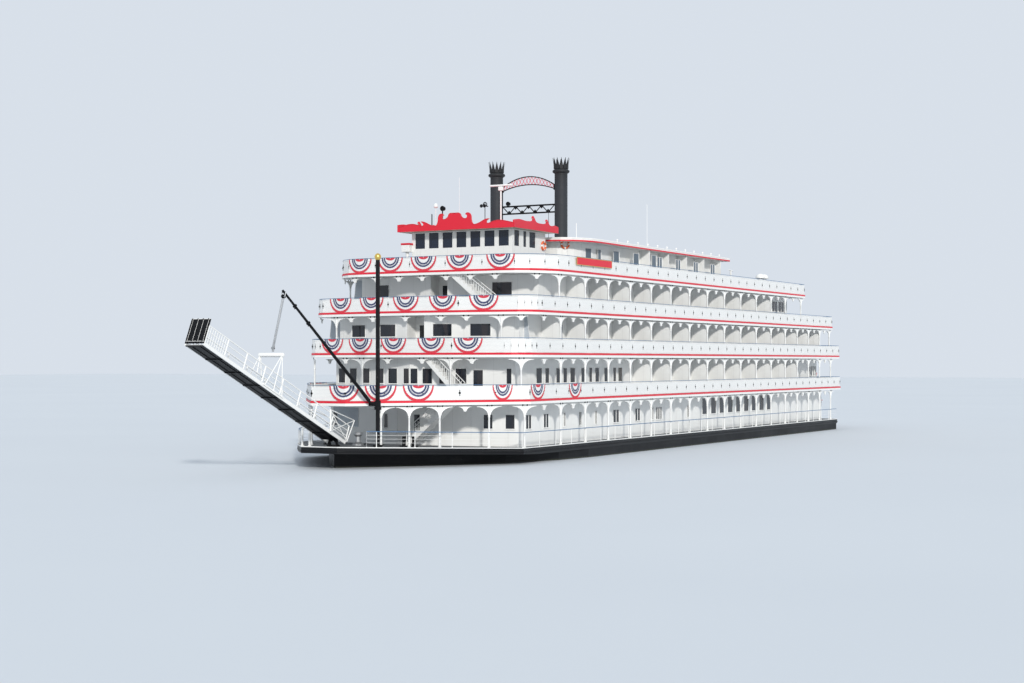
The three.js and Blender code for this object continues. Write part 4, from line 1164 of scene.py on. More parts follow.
def framed(name, width, height, panes=1, glass=None, border=0.0045, sill=True):
    """A window or door that lies along X, its foot at z 0 and its outer face towards -Y."""
    piece = block(name, (-width / 2, -FRAME_PROUD, 0), (width / 2, 0.001, height))
    for pane in range(1, panes):
        chosen(piece, "FACE", lambda face: True)
        bpy.ops.mesh.bisect(plane_co=(width * (pane / panes - 0.5), 0, 0), plane_no=(1, 0, 0))
        done(piece)
    chosen(piece, "FACE", lambda face: face.normal.y < -0.9)
    bpy.ops.mesh.inset(thickness=border, depth=PANE_BACK, use_individual=True)
    two_toned(done(piece), TRIM_WHITE, glass or WINDOW_GLASS, lambda face: face.select)
    if not sill:
        return piece
    reach = width / 2 + 0.003
    ledge = soft_block("sill", (-reach, -0.0075, -0.003), (reach, 0.001, 0.0005), 0.0008)
    return joined(name, [piece, painted(ledge, TRIM_WHITE)])


def on_wall(node, axis, value, side, foot, size=(1, 1, 1)):
    """The matrix that sets a pattern on a house's wall with its foot at this height."""
    move = on_line(outline(node), 2, axis, value, side)
    return placed(*move.translation.xy, foot, heading_of(move), size)


print("window patterns ready, frames", FRAME_PROUD * 1000, "mm proud")

# %% [markdown]
# The windows were read from the photograph on both walls that it shows. The starboard side mirrors the port
# side, and the stern walls are finished as such boats have them: a double door between two pairs of
# windows.

# %% Windows and doors of the houses
# A place is (y, width) on a front wall and (x, width) on a side wall.
WALL_OPENINGS = [
    {"node": "house_main", "wall": "front", "foot": 0.434, "head": 0.54, "panes": 1,
     "places": [(0.745, 0.07), (0.60, 0.07), (-0.745, 0.07), (0.13, 0.045), (-0.13, 0.045)]},
    {"node": "house_main", "wall": "side", "foot": 0.43, "head": 0.535, "panes": 2,
     "places": [(2.4935, 0.083), (2.229, 0.078), (1.94, 0.03), (1.6815, 0.039), (1.416, 0.03),
                (1.0575, 0.107), (0.656, 0.094), (0.361, 0.03), (0.266, 0.06), (0.205, 0.05),
                (-0.3735, 0.037)]},
    {"node": "house_main", "wall": "side", "foot": 0.444, "head": 0.59, "panes": 1,
     "places": [(-0.752 - 0.201 * i, 0.122) for i in range(9)]},
    {"node": "house_2", "wall": "front", "foot": 0.748, "head": 0.863, "panes": 1,
     "places": [(-0.7015, 0.075), (-0.5805, 0.077), (-0.4485, 0.087), (-0.296, 0.072), (-0.1705, 0.097),
                (-0.033, 0.06), (0.032, 0.056), (0.1295, 0.077), (0.2405, 0.051), (0.3745, 0.087),
                (0.7195, 0.037)]},
    {"node": "house_2", "wall": "side", "foot": 0.75, "head": 0.865, "panes": 1,
     "places": [(2.2695, 0.091), (2.1465, 0.063), (1.9695, 0.071), (1.861, 0.064), (1.7385, 0.083),
                (1.5635, 0.067), (1.4355, 0.051), (1.323, 0.07), (1.164, 0.072), (1.011, 0.054),
                (0.91, 0.074)]},
    {"node": "house_2", "wall": "side", "foot": 0.76, "head": 0.863, "panes": 1,
     "places": [(-3.665 - 0.055 * i, 0.036) for i in range(4)]},
    {"node": "house_3", "wall": "front", "foot": 1.087, "head": 1.182, "panes": 1,
     "places": [(-0.568, 0.144), (-0.267, 0.164), (0.2065, 0.147), (0.486, 0.158)]},
    {"node": "house_4", "wall": "front", "foot": 1.39, "head": 1.49, "panes": 1,
     "places": [(-0.5405, 0.109), (0.491, 0.158)]},
    {"node": "house_4", "wall": "side", "foot": 1.395, "head": 1.50, "panes": 2,
     "places": [(-2.4475, 0.083), (-2.6155, 0.141), (-2.80, 0.15)]},
]
# the lengths of wall that have verandas: deck level, house, and the fore partition of the first and last bay
VERANDAS = [
    {"level": 2, "node": "house_2", "first": 0.66, "last": -2.49},
    {"level": 3, "node": "house_3", "first": 2.24, "last": -3.52},
    {"level": 4, "node": "house_4", "first": 1.84, "last": -2.10},
]
HOUSES = {1: "house_main", 2: "house_2", 3: "house_3", 4: "house_4", 5: "top_house"}
DOOR = {"width": 0.09, "height": 0.205}
VERANDA_DOOR = {"width": 0.19, "height": 0.212, "aft": 0.235}
ALCOVE_BACKS = {3: 2.6, 4: 2.28}  # deck level, and where along the boat the alcove's back wall stands
# width, height, panes and places of the doors on deck 5; the last row's stand between the fins
TOP_DOORS = [
    (0.09, 0.23, 1, (1.1225, 0.70, 0.3865, 0.08)),
    (0.05, 0.23, 1, (0.9575,)),
    (0.10, 0.22, 2, [0.16 - LONG_BAY * (bay + 0.5) for bay in range(4)]),
]


def door_foot(level):
    """The height at which a deck's doors begin."""
    return deck_top(level) + 0.002


def window_moves(row, pattern_width):
    """A matrix for each window of a row of the table, on both sides for a side wall."""
    moves = []
    for place, width in row["places"]:
        size = (width / pattern_width, 1, 1)
        if row["wall"] == "front":
            moves.append(on_wall(row["node"], 1, place, math.copysign(1, place), row["foot"], size))
        else:
            moves += [on_wall(row["node"], 0, place, side, row["foot"], size) for side in (1, -1)]
    return moves


windows = {}


def hung(node, pattern, moves):
    """Adds copies of a pattern to the windows of a house."""
    windows.setdefault(node, []).append(repeated("windows", pattern, moves))


def on_both_walls(node, xs, foot):
    """The matrix of each place along the boat on a house's port wall and on its starboard wall."""
    return [on_wall(node, 0, x, side, foot) for x in xs for side in (1, -1)]


for row in WALL_OPENINGS:
    width = max(place[1] for place in row["places"])
    pattern = framed("window", width, row["head"] - row["foot"], row["panes"])
    hung(row["node"], pattern, window_moves(row, width))

for row in VERANDAS:
    pattern = framed("veranda_door", VERANDA_DOOR["width"], VERANDA_DOOR["height"], 2, VERANDA_GLASS,
                     sill=False)
    xs = [x - VERANDA_DOOR["aft"] for x in STATIONS if row["last"] <= x <= row["first"]]
    hung(row["node"], pattern, on_both_walls(row["node"], xs, door_foot(row["level"])))

for level, node in HOUSES.items():
    stern_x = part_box(node)[0].x
    hung(node, framed("stern_doors", 0.15, DOOR["height"], 2, sill=False),
         [placed(stern_x, 0, door_foot(level), -math.pi / 2)])
    hung(node, framed("stern_window", 0.12, 0.1, 2),
         [placed(stern_x, y, door_foot(level) + 0.1, -math.pi / 2) for y in (-0.46, -0.26, 0.26, 0.46)])

for level, x in ALCOVE_BACKS.items():
    hung(HOUSES[level], framed("alcove_door", DOOR["width"], DOOR["height"], 1, sill=False),
         [placed(x, 0, door_foot(level), math.pi / 2)])
hung("house_2", framed("front_door", 0.078, DOOR["height"], 1, sill=False),
     [on_wall("house_2", 1, 0.498, 1, door_foot(2))])
for width, height, panes, xs in TOP_DOORS:
    hung("top_house", framed("top_door", width, height, panes, TINTED_GLASS, sill=False),
         on_both_walls("top_house", xs, door_foot(5)))

for node, pieces in windows.items():
    mounted(joined(f"windows_{node}", pieces), None)

# %% [markdown]
# The photograph shows grey louvres where air goes in and out: a broad panel low on the front, a slanted one
# at the stern end of the fourth deck, and screens that close the corners of the upper verandas. They share
# one slatted finish, and each is a thin framed plate. The slanted edge is made by moving one edge of the
# plate.

# %% Louvres and corner screens


def slatted_panel(name, width, height, slant=0.0):
    """A framed grille; its upper edge ends short of its foot by the slant, on the +X side."""
    piece = framed(name, width, height, 1, SLATTED_GREY, 0.004, sill=False)
    for vert in piece.data.vertices:
        if vert.co.x > 0 and vert.co.z > height / 2:
            vert.co.x -= slant
    return piece


front_louvre = repeated("front_louvre", slatted_panel("louvre", 0.34, 0.149),
                        [on_wall("house_main", 1, -0.61, -1, 0.429)])
mounted(front_louvre, None)
stern_louvres = repeated("stern_louvres", slatted_panel("louvre", 0.06, 0.13),
                         [on_wall("house_4", 0, -2.925, side, 1.375) for side in (1, -1)])
mounted(stern_louvres, None)
# deck, x, side, width; the starboard screens reach further out, to the deck's edge
SCREENS = [(3, 2.50, 1, 0.06), (3, 2.50, -1, 0.155), (4, 2.22, -1, 0.124)]
SCREEN_INNER = 0.766
screens = []
for level, x, side, width in SCREENS:
    height = deck_top(level + 1) - DECK_THICK - deck_top(level) - 0.004
    screen = slatted_panel("screen", width, height, 0.03)
    move = placed(x, side * (SCREEN_INNER + width / 2), deck_top(level) + 0.002, math.pi / 2, (side, 1, 1))
    screens.append(repeated("screen", screen, [move]))
mounted(joined("veranda_screens", screens), None)
print("louvres and", len(screens), "screens made")

# %% [markdown]
# Half-round bunting fans hang on the rails round the bow. A fan is a strip of cloth pleated to one point,
# with red, white and blue bands sewn round it. It's a sheet of polar quads, so it is made as mesh code: its
# pleats are a cosine wave that grows with the distance from the point, and its UV map holds the angle and
# the distance.

# %% Bunting fans
FAN_HALF_WIDTH = 0.110
FAN_DROP = 0.108
PLEATS = 15
PLEAT_DEPTH = 0.0013
SAG = 0.0005
# deck: the places of its fans on the front, as pixels across the photograph
FAN_PIXELS = {5: (360, 391, 424, 460, 500.6), 4: (341, 372, 406, 443, 484), 3: (333, 360.6, 394, 431.5, 469),
              2: (343.5, 381, 418.6)}
SIDE_FAN_PIXELS = {2: ((503, 0.7), (543, 0.95), (575, 0.9))}  # with the share of the full width
IMAGE_MIDDLE = 512  # half the photograph's width
PIXELS_PER_SLOPE = 2 * IMAGE_MIDDLE * LENS / FILM_WIDTH


def pixel_across(x, y):
    """The column of the photograph in which the camera sees this place."""
    way = Vector((x - CAMERA_PLACE[0], y - CAMERA_PLACE[1]))
    ahead = Vector(CAMERA_AIM[:2])
    return IMAGE_MIDDLE + PIXELS_PER_SLOPE * (way.x * ahead.y - way.y * ahead.x) / way.dot(ahead)


def seen_at(line, level, pixel):
    """The matrix at the place on an outline that the camera sees in this column of the photograph."""
    steps = 60
    for start, end in sides_of(line):
        outwards = Vector((end.y - start.y, start.x - end.x))
        if outwards.dot(Vector(CAMERA_PLACE[:2]) - start) <= 0:
            continue
        for step in range(steps):
            first, last = start.lerp(end, step / steps), start.lerp(end, (step + 1) / steps)
            if pixel_across(*first) <= pixel < pixel_across(*last):
                along = (end - start).normalized() * 0.5
                return laid(first - along, first + along, level, 1.0)
    raise ValueError(f"no place at column {pixel}")


def bunting_cloth():
    finish = Finish("pleated_bunting", roughness=0.85)
    uv = finish.node("ShaderNodeUVMap", {"uv_map": "fan"}, {}).outputs[0]
    angle, radius = [Signal(finish, output) for output in
                     finish.node("ShaderNodeSeparateXYZ", {}, {"Vector": uv}).outputs[:2]]
    scallop = (angle * 36 * math.pi).math("SINE").math("ABSOLUTE") * 0.035
    white = (0.80, 0.80, 0.79)
    red = (0.62, 0.03, 0.05)
    navy = (0.018, 0.030, 0.105)
    across = (angle * math.pi).math("COSINE") * radius
    down = (angle * math.pi).math("SINE") * radius
    centre = (across * across + down * down * 4.2).math("SQRT")
    colour = finish.mix(centre > 0.37, red, white)
    colour = finish.mix(radius + scallop > 0.44, colour, navy)
    dot_across = (angle * 22).math("FRACT") - 0.5
    dot_up = (radius - 0.56) * 9
    dot = (dot_across * dot_across + dot_up * dot_up).math("SQRT") < 0.36
    colour = finish.mix(dot, colour, white)
    colour = finish.mix(radius - scallop > 0.68, colour, white)
    colour = finish.mix(radius + down * 0.085 > 0.905, colour, red)
    fold = (angle * 2 * math.pi * PLEATS).math("COSINE") * 0.5 + 0.5
    # The cloth darkens with the pleat wave: painted shade of the pleats, over the printed bands.
    finish.set("Base Color", finish.mix(fold * 0.22, colour, (0.18, 0.18, 0.22)))
    weave = finish.noise(900, 1)
    return finish.relief(fold * 0.7 + weave * 0.3, 0.0015, 0.6).material


def bunting_fan(name):
    """A fan that hangs below the origin, its point up and its face towards -Y, with its own UV map."""
    rays, rings = PLEATS * 8, 8
    verts, uvs, faces = [], [], []
    for ring in range(rings + 1):
        radius = 0.04 + 0.96 * ring / rings
        for ray in range(rays + 1):
            share = ray / rays
            angle = math.pi * share
            pleat = PLEAT_DEPTH * radius * math.cos(2 * math.pi * PLEATS * share)
            sag = SAG * radius * math.sin(angle)
            verts.append((FAN_HALF_WIDTH * radius * math.cos(angle), -pleat - sag,
                          -FAN_DROP * radius * math.sin(angle)))
            uvs.append((share, radius))
    for ring in range(rings):
        for ray in range(rays):
            corner = ring * (rays + 1) + ray
            faces.append((corner, corner + rays + 1, corner + rays + 2, corner + 1))
    mesh = bpy.data.meshes.new(name)
    mesh.from_pydata(verts, [], faces)
    layer = mesh.uv_layers.new(name="fan")
    for loop in mesh.loops:
        layer.data[loop.index].uv = uvs[loop.vertex_index]
    fan = bpy.data.objects.new(name, mesh)
    bpy.context.scene.collection.objects.link(fan)
    return smoothed(fan, 60)


BUNTING = bunting_cloth()
FAN_PROUD = 0.0038  # in front of the rail panels
fan_pattern = bunting_fan("fan")


def distance_round(line, place):
    """How far round an outline from its first corner a place on it lies."""
    passed = 0
    for start, end in sides_of(line):
        length = (end - start).length
        reach = (place - start).dot(end - start) / length
        off = (place - start).cross(end - start) / length
        if abs(off) < 0.0005 and -0.0005 < reach < length + 0.0005:
            return passed + reach
        passed += length
    raise ValueError(f"{place} is not on the outline")


def place_round(line, distance):
    """The place this far round an outline, and the way that side of it runs."""
    for start, end in sides_of(line):
        length = (end - start).length
        if distance <= length:
            return start + (end - start) * (distance / length), (end - start) / length
        distance -= length
    return line[0], (line[1] - line[0]).normalized()


def hang_fan(name, line, place, level, narrowing=1.0):
    """Hangs a fan on a deck's rail. Where the rail turns a corner, the cloth follows it round."""
    middle = distance_round(line, place)
    top = deck_top(level) + HAND_RAIL - 0.002
    fan = copied(fan_pattern, Matrix.Identity(4))
    fan.name = name
    fan.data.name = name
    for vert in fan.data.vertices:
        x, y, z = vert.co
        point, way = place_round(line, middle + x * narrowing)
        outwards = Vector((way.y, -way.x))
        vert.co = (*(point + outwards * (FAN_PROUD - y)), top + z)
    mounted(fan, BUNTING)
    return fan


for level, pixels in FAN_PIXELS.items():
    line = outline(f"deck_{level}", RAIL_INSET)
    for i, pixel in enumerate(pixels):
        place = seen_at(line, level, pixel).translation.xy
        hang_fan(f"bunting_deck_{level}_{i + 1}", line, place, level)
for level, pixels in SIDE_FAN_PIXELS.items():
    line = outline(f"deck_{level}", RAIL_INSET)
    for i, (pixel, narrowing) in enumerate(pixels):
        x = seen_at(line, level, pixel).translation.x
        for name, side in SIDES.items():
            place = on_line(line, level, 0, x, side).translation.xy
            hang_fan(f"bunting_deck_{level}_{name}_{i + 1}", line, place, level, narrowing)
bpy.data.objects.remove(fan_pattern)

# %% [markdown]
# The chimneys are steel tubes in rings, each ring overlapping the one below. A thick moulding runs round
# each top, and above it a cup opens into a crown of slender leaves. The leaf is one bar, extruded in steps
# that narrow and lean outwards, and twelve copies go round.

# %% Chimneys with their crowns
LEAVES = 12
# a leaf's steps upwards: rise, lean outwards, and width as a share of the step below
LEAF_STEPS = [(0.016, 0.001, 0.8), (0.018, 0.0025, 0.62), (0.016, 0.004, 0.45), (0.0155, 0.005, 0.2)]
chimney_low, chimney_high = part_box("chimney_port")
CHIMNEY_RADIUS = 0.052
CHIMNEY_X = (chimney_low.x + chimney_high.x) / 2
CHIMNEY_Y = (chimney_low.y + chimney_high.y) / 2
MOULDING_Z = chimney_high.z - 0.11


def leaf():
    bar = block("leaf", (0.054, -0.0135, MOULDING_Z + 0.021), (0.059, 0.0135, MOULDING_Z + 0.043))
    chosen(bar, "FACE", lambda face: face.normal.z > 0.9)
    top = MOULDING_Z + 0.043
    for rise, lean, width in LEAF_STEPS:
        extruded((lean, 0, rise))
        top += rise
        bpy.ops.transform.resize(value=(0.8, width, 1), center_override=(0.058 + lean, 0, top))
    done(bar)
    return smoothed(bar, 50)


def chimney_tube():
    low = chimney_low.z
    seams = []
    z = low + 0.05
    while z < MOULDING_Z - 0.05:
        proud = CHIMNEY_RADIUS + 0.0008
        seams += [(CHIMNEY_RADIUS, z), (proud, z + 0.0004), (proud, z + 0.005), (CHIMNEY_RADIUS, z + 0.0056)]
        z += 0.08
    thick = 0.0135
    ring = [(0.069 - thick + thick * math.cos(angle), MOULDING_Z + thick * math.sin(angle))
            for angle in [math.radians(a) for a in range(-75, 76, 25)]]
    profile = [(0.066, low), (0.066, low + 0.008), (0.0635, low + 0.011), (0.058, low + 0.020),
               (0.053, low + 0.030), *seams, (CHIMNEY_RADIUS, MOULDING_Z - 0.018), *ring,
               (0.054, MOULDING_Z + 0.014), (0.0535, MOULDING_Z + 0.024), (0.056, MOULDING_Z + 0.036),
               (0.059, MOULDING_Z + 0.044), (0.0555, MOULDING_Z + 0.044), (0.049, MOULDING_Z + 0.02),
               (0.047, MOULDING_Z - 0.05)]
    return smoothed(turned("tube", profile, 32), 30)


for name, side in SIDES.items():
    crown = repeated("crown", leaf(), [Matrix.Rotation(a, 4, "Z") for a in turns(LEAVES)])
    whole = joined(f"tall_chimney_{name}", [chimney_tube(), crown])
    moved(whole, placed(CHIMNEY_X, side * CHIMNEY_Y, 0))
    mounted(whole, CHARCOAL, replacing=[f"chimney_{name}"])
print("two chimneys with", LEAVES, "leaves each")

# %% [markdown]
# An arch of two slim chords joins the chimney heads. Red lattice bars fill it, and its chords end in
# plates. The truss below is plainer: square chords, a zigzag of bars and a triangular gusset at each joint.

# %% The arch and the truss between the chimneys
ARCH_REACH = CHIMNEY_Y - CHIMNEY_RADIUS
ARCH_CURVES = {"upper": (2.325, 2.405), "lower": (2.295, 2.34)}  # height at the ends and at the middle
ARCH_BAYS = 16
TRUSS_LOW, TRUSS_HIGH = 2.11, 2.17
TRUSS_BAYS = 8
GUSSET_THIN = 0.16  # a gusset's thickness as a share of its width


def curve_height(curve, y):
    end, middle = ARCH_CURVES[curve]
    return end + (middle - end) * (1 - (y / ARCH_REACH) ** 2)


def arch():
    ys = [ARCH_REACH * (2 * i / ARCH_BAYS - 1) for i in range(ARCH_BAYS + 1)]
    parts = []
    for curve in ARCH_CURVES:
        points = [(CHIMNEY_X, y, curve_height(curve, y)) for y in ys]
        parts.append(painted(pipe("chord", points, 0.0045, 8, closed=False), FITTING_BLACK))
    for i, (y, after) in enumerate(zip(ys, ys[1:])):
        ends = ("upper", "lower") if i % 2 else ("lower", "upper")
        for first, last in (ends, ends[::-1]):
            lattice = rod("lattice", (CHIMNEY_X, y, curve_height(first, y)),
                          (CHIMNEY_X, after, curve_height(last, after)), 0.0021, 6)
            parts.append(painted(lattice, BRIGHT_RED))
    for way in (-1, 1):
        low, high = curve_height("lower", ARCH_REACH) - 0.008, curve_height("upper", ARCH_REACH) + 0.008
        y = way * (ARCH_REACH - 0.006)
        plate = soft_block("plate", (CHIMNEY_X - 0.006, y - 0.007, low), (CHIMNEY_X + 0.006, y + 0.007, high),
                           0.001)
        parts.append(painted(plate, FITTING_BLACK))
    return joined("lattice_arch", parts)


def truss():
    parts = []
    for z in (TRUSS_LOW, TRUSS_HIGH):
        parts.append(soft_block("chord", (CHIMNEY_X - 0.006, -ARCH_REACH, z - 0.006),
                                (CHIMNEY_X + 0.006, ARCH_REACH, z + 0.006), 0.001))
    ys = [ARCH_REACH * (2 * i / TRUSS_BAYS - 1) * 0.98 for i in range(TRUSS_BAYS + 1)]
    for i, (y, after) in enumerate(zip(ys, ys[1:])):
        ends = (TRUSS_LOW, TRUSS_HIGH) if i % 2 else (TRUSS_HIGH, TRUSS_LOW)
        parts.append(rod("brace", (CHIMNEY_X, y, ends[0]), (CHIMNEY_X, after, ends[1]), 0.0042, 6))
        foot = ends[1]
        tip = foot + (0.026 if foot == TRUSS_LOW else -0.026)
        if i < TRUSS_BAYS - 1:
            gusset = rod("gusset", (CHIMNEY_X, after, foot), (CHIMNEY_X, after, tip), 0.026, 4, 0.003)
            thin = placed(CHIMNEY_X, 0, 0, size=(GUSSET_THIN, 1, 1)) @ placed(-CHIMNEY_X, 0, 0)
            parts.append(moved(gusset, thin))
    return joined("dark_truss", parts)


mounted(arch(), None, replacing=["chimney_arch"])
mounted(truss(), FITTING_BLACK, replacing=["chimney_truss"])
print("arch with", ARCH_BAYS, "bays, truss with", TRUSS_BAYS)

# %% [markdown]
# From the pilothouse the captain sees both banks, so glass goes right round. The panes are tinted and let
# the room show: a panelled console across the front, a spoked steering wheel and a bench. The roof's crest
# is a board sawn to scrolls. A few listed corners, joined by a smooth line, give its curls; a disc is
# moved to that line and extruded, and a rolled rim follows the front edge.

# %% Pilothouse glass, inside and crest
PILOT_LOW, PILOT_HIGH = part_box("pilothouse")
PILOT_SILL, PILOT_HEAD = 1.77, 1.887
PILOT_GLASS_PROUD = 0.004  # behind the wall's outer face
FRONT_PANES = [(i - 3) * 0.122 for i in range(7)]
SIDE_PANES = [(1.975, 2.05), (1.865, 1.91), (1.72, 1.815)]
ROOF_TOP = PILOT_HIGH.z + 0.0253
HELM_X = 1.935  # the steering wheel stands here, behind the console
BOARD_THICK = 0.012


def pilothouse_glass():
    """Nearly black in front; the side panes let more of the room show."""
    finish = Finish("navy_pilothouse_glass", roughness=0.07)
    _, facing = finish.coordinates()
    finish.set("Base Color", finish.mix(finish.noise(9, 2), (0.006, 0.011, 0.026), (0.016, 0.026, 0.05)))
    finish.set("Alpha", 0.9 - (facing.y.math("ABSOLUTE") > 0.5) * 0.3)
    return finish.relief(finish.noise(4, 1), 0.0003, 0.2).material


def panelled_wood():
    finish = Finish("red_brown_panelling", roughness=0.4)
    grain = finish.noise(30, 6, (1, 1, 0.08))
    finish.layers((0.16, 0.035, 0.02), (grain, (0.30, 0.09, 0.045)))
    return finish.relief(grain, 0.0006, 0.4).material


def crest_red():
    """Signal red above, and beige on the boards under the eave."""
    finish = Finish("red_crest_paint", roughness=0.42)
    _, facing = finish.coordinates()
    under = facing.z < -0.5
    finish.set("Base Color", finish.mix(under, faded_red(finish), (0.62, 0.56, 0.44)))
    return finish.relief(finish.noise(50, 3), 0.0005, 0.4).material


def pane(width):
    """A sheet of glass with a thin bevelled edge, its foot at z 0."""
    sheet = block("pane", (-width / 2, -0.001, 0), (width / 2, 0.001, PILOT_HEAD - PILOT_SILL))
    chosen(sheet, "FACE", lambda face: abs(face.normal.y) > 0.9)
    bpy.ops.mesh.inset(thickness=0.003, depth=0.0004, use_individual=True)
    return done(sheet)


def glazing():
    front, back = PILOT_HIGH.x - PILOT_GLASS_PROUD, PILOT_LOW.x + PILOT_GLASS_PROUD
    side_y = PILOT_HIGH.y - PILOT_GLASS_PROUD
    ahead, astern = math.pi / 2, -math.pi / 2
    parts = [repeated("front", pane(0.085), [placed(front, y, PILOT_SILL, ahead) for y in FRONT_PANES]),
             repeated("back", pane(0.119), [placed(back, y, PILOT_SILL, astern) for y in (-0.24, 0.24)])]
    for low, high in SIDE_PANES:
        middle = (low + high) / 2
        moves = [placed(middle, side_y, PILOT_SILL, math.pi), placed(middle, -side_y, PILOT_SILL)]
        parts.append(repeated("side", pane(high - low - 0.001), moves))
    return joined("pilothouse_glass", parts)


def steering_wheel(x, z, radius):
    ring = pipe("ring", [(x, radius * math.cos(a), z + radius * math.sin(a)) for a in turns(24)], 0.0022)
    middle = Vector((x, 0, z))
    spokes = []
    for angle in turns(8):
        way = Vector((0, math.cos(angle), math.sin(angle)))
        spokes.append(rod("spoke", middle, middle + way * radius * 1.18, 0.0017, 6, 0.0022))
    profile = [(0.009, -0.006), (0.012, -0.003), (0.012, 0.003), (0.009, 0.006)]
    return joined("wheel", [ring, *spokes, turned("hub", profile, 12, placed(x, 0, z) @ FORWARD)])


def pilothouse_inside():
    floor = PILOT_LOW.z
    console = block("console", (1.97, -0.30, floor), (2.03, 0.30, floor + 0.105))
    chosen(console, "FACE", lambda face: face.normal.z > 0.9)
    extruded((0.006, 0, 0.018))
    bpy.ops.transform.resize(value=(0.6, 1, 1))
    bpy.ops.mesh.inset(thickness=0.004, depth=-0.003)
    done(console)
    bench = soft_block("bench", (1.60, -0.3, floor), (1.66, 0.3, floor + 0.05), 0.004)
    back = soft_block("back", (1.585, -0.3, floor), (1.60, 0.3, floor + 0.11), 0.003)
    stand = rod("stand", (HELM_X, 0, floor), (HELM_X, 0, floor + 0.09), 0.007, 8)
    wainscot = [soft_block("panel", (1.60, y - 0.002, floor), (2.05, y + 0.002, floor + 0.19), 0.001)
                for y in (0.425, -0.425)]
    wheel = steering_wheel(HELM_X, floor + 0.11, 0.05)
    return joined("pilothouse_controls", [console, bench, back, stand, *wainscot, wheel])


# Half of the front board's upper edge, as y and height above the roof, and a side board's, as x and height.
CREST_FRONT = [(0, 0.1), (0.036, 0.1), (0.051, 0.089), (0.058, 0.073), (0.078, 0.059), (0.098, 0.056),
               (0.110, 0.066), (0.108, 0.081), (0.096, 0.089), (0.110, 0.098), (0.130, 0.094), (0.142, 0.074),
               (0.145, 0.044), (0.157, 0.016), (0.182, 0.010), (0.220, 0.022), (0.258, 0.040), (0.296, 0.048),
               (0.278, 0.034), (0.274, 0.020), (0.292, 0.013), (0.322, 0.022), (0.362, 0.031), (0.410, 0.030),
               (0.460, 0.02), (0.508, 0.01)]
CREST_SIDE = [(1.475, 0.022), (1.53, 0.031), (1.58, 0.024), (1.622, 0.03), (1.645, 0.056), (1.664, 0.068),
              (1.672, 0.054), (1.662, 0.044), (1.69, 0.034), (1.76, 0.03), (1.83, 0.036), (1.862, 0.064),
              (1.882, 0.078), (1.892, 0.062), (1.88, 0.05), (1.91, 0.038), (2.0, 0.034), (2.1, 0.04),
              (2.178, 0.03)]
CREST_STEPS = 4


def flowing(points):
    """A smooth line through the points, as a batten bent round nails would lie."""
    line = []
    ends = [points[0], *points, points[-1]]
    for before, start, end, after in zip(ends, ends[1:], ends[2:], ends[3:]):
        for step in range(CREST_STEPS):
            t = step / CREST_STEPS
            line.append(tuple(0.5 * (2 * b + (c - a) * t + (2 * a - 5 * b + 4 * c - d) * t ** 2
                                     + (3 * b - a - 3 * c + d) * t ** 3)
                              for a, b, c, d in zip(before, start, end, after)))
    return [*line, points[-1]]


def sawn_board(name, corners, way):
    """A board with this outline, extruded from it by the given way."""
    board = loop_of(corners, "NGON")
    edited(board)
    extruded(way)
    return settled(outward(done(board)), name)


def scrolled_roof():
    low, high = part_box("pilothouse_roof")
    inner = high.y - 0.0125
    slab = soft_block("slab", (low.x, -inner, low.z + 0.001), (high.x - 0.0125, inner, ROOF_TOP), 0.002)
    half = flowing(CREST_FRONT)
    upper = [(-y, z) for y, z in half[:0:-1]] + half
    corners = [(high.x, y, ROOF_TOP + z) for y, z in upper]
    corners += [(high.x, half[-1][0], low.z), (high.x, -half[-1][0], low.z)]
    front = sawn_board("front", corners, (-BOARD_THICK, 0, 0))
    parts = [slab, front]
    for side in (1, -1):
        y = side * high.y
        line = [(x, y, ROOF_TOP + z) for x, z in flowing(CREST_SIDE)]
        corners = [*line, (line[-1][0], y, low.z), (line[0][0], y, low.z)]
        parts.append(sawn_board("side", corners, (0, -side * BOARD_THICK, 0)))
    rim = pipe("rim", [(high.x + 0.0005, y, ROOF_TOP + z) for y, z in upper], 0.0022, 8, closed=False)
    return joined("scrolled_roof", [*parts, rim])


mounted(glazing(), pilothouse_glass())
mounted(pilothouse_inside(), panelled_wood())
mounted(scrolled_roof(), crest_red(), replacing=["pilothouse_roof"])
print("pilothouse glazed and fitted out")

# %% [markdown]
# The stage is the boat's own gangway: a long truss that swings out over the bow. Its side beams are white,
# its underside black, and light rails stand on it. It is drawn level, with its heel pin at the origin, and
# one matrix tilts the finished pieces into place.

# %% The stage, its rails and its lifting portal
STAGE_PLACE = placed(3.74, 0, 0.388) @ Matrix.Rotation(math.radians(-24), 4, "Y")
STAGE_START, STAGE_END, STAGE_HALF = -0.038, 1.54, 0.074
STAGE_BAYS = 8
STAGE_BAY = (STAGE_END - STAGE_START) / STAGE_BAYS
BEAM_DEPTH = 0.012
STAGE_RAIL = 0.117
LAST_BAY_BARS = 9  # uprights close together beside the flap
PORTAL_BAR = (0.842, 0.245)


def stage_bay():
    """A bay of the port rail: a post and four bars, with a plate at the post's foot."""
    y = STAGE_HALF - 0.003
    post = rod("post", (0, y, BEAM_DEPTH), (0, y, STAGE_RAIL), 0.0048, 8)
    foot = soft_block("foot", (-0.007, y - 0.003, BEAM_DEPTH), (0.007, y + 0.003, BEAM_DEPTH + 0.004), 0.0008)
    bars = [rod("bar", (0, y, height), (STAGE_BAY, y, height), radius, 6)
            for height, radius in ((0.029, 0.0024), (0.046, 0.0033), (0.081, 0.0033), (STAGE_RAIL, 0.0044))]
    return joined("stage_bay", [post, foot, *bars])


def side_beam(side):
    """A channel beam: a plate with a flange along its upper and lower edge."""
    low_y, high_y = sorted((side * STAGE_HALF, side * STAGE_HALF - side * 0.006))
    web = block("web", (STAGE_START, low_y, -BEAM_DEPTH), (STAGE_END, high_y, BEAM_DEPTH))
    chosen(web, "FACE", lambda face: face.normal.y * side > 0.9)
    bpy.ops.mesh.inset(thickness=0.0028, depth=-0.002)
    return done(web)


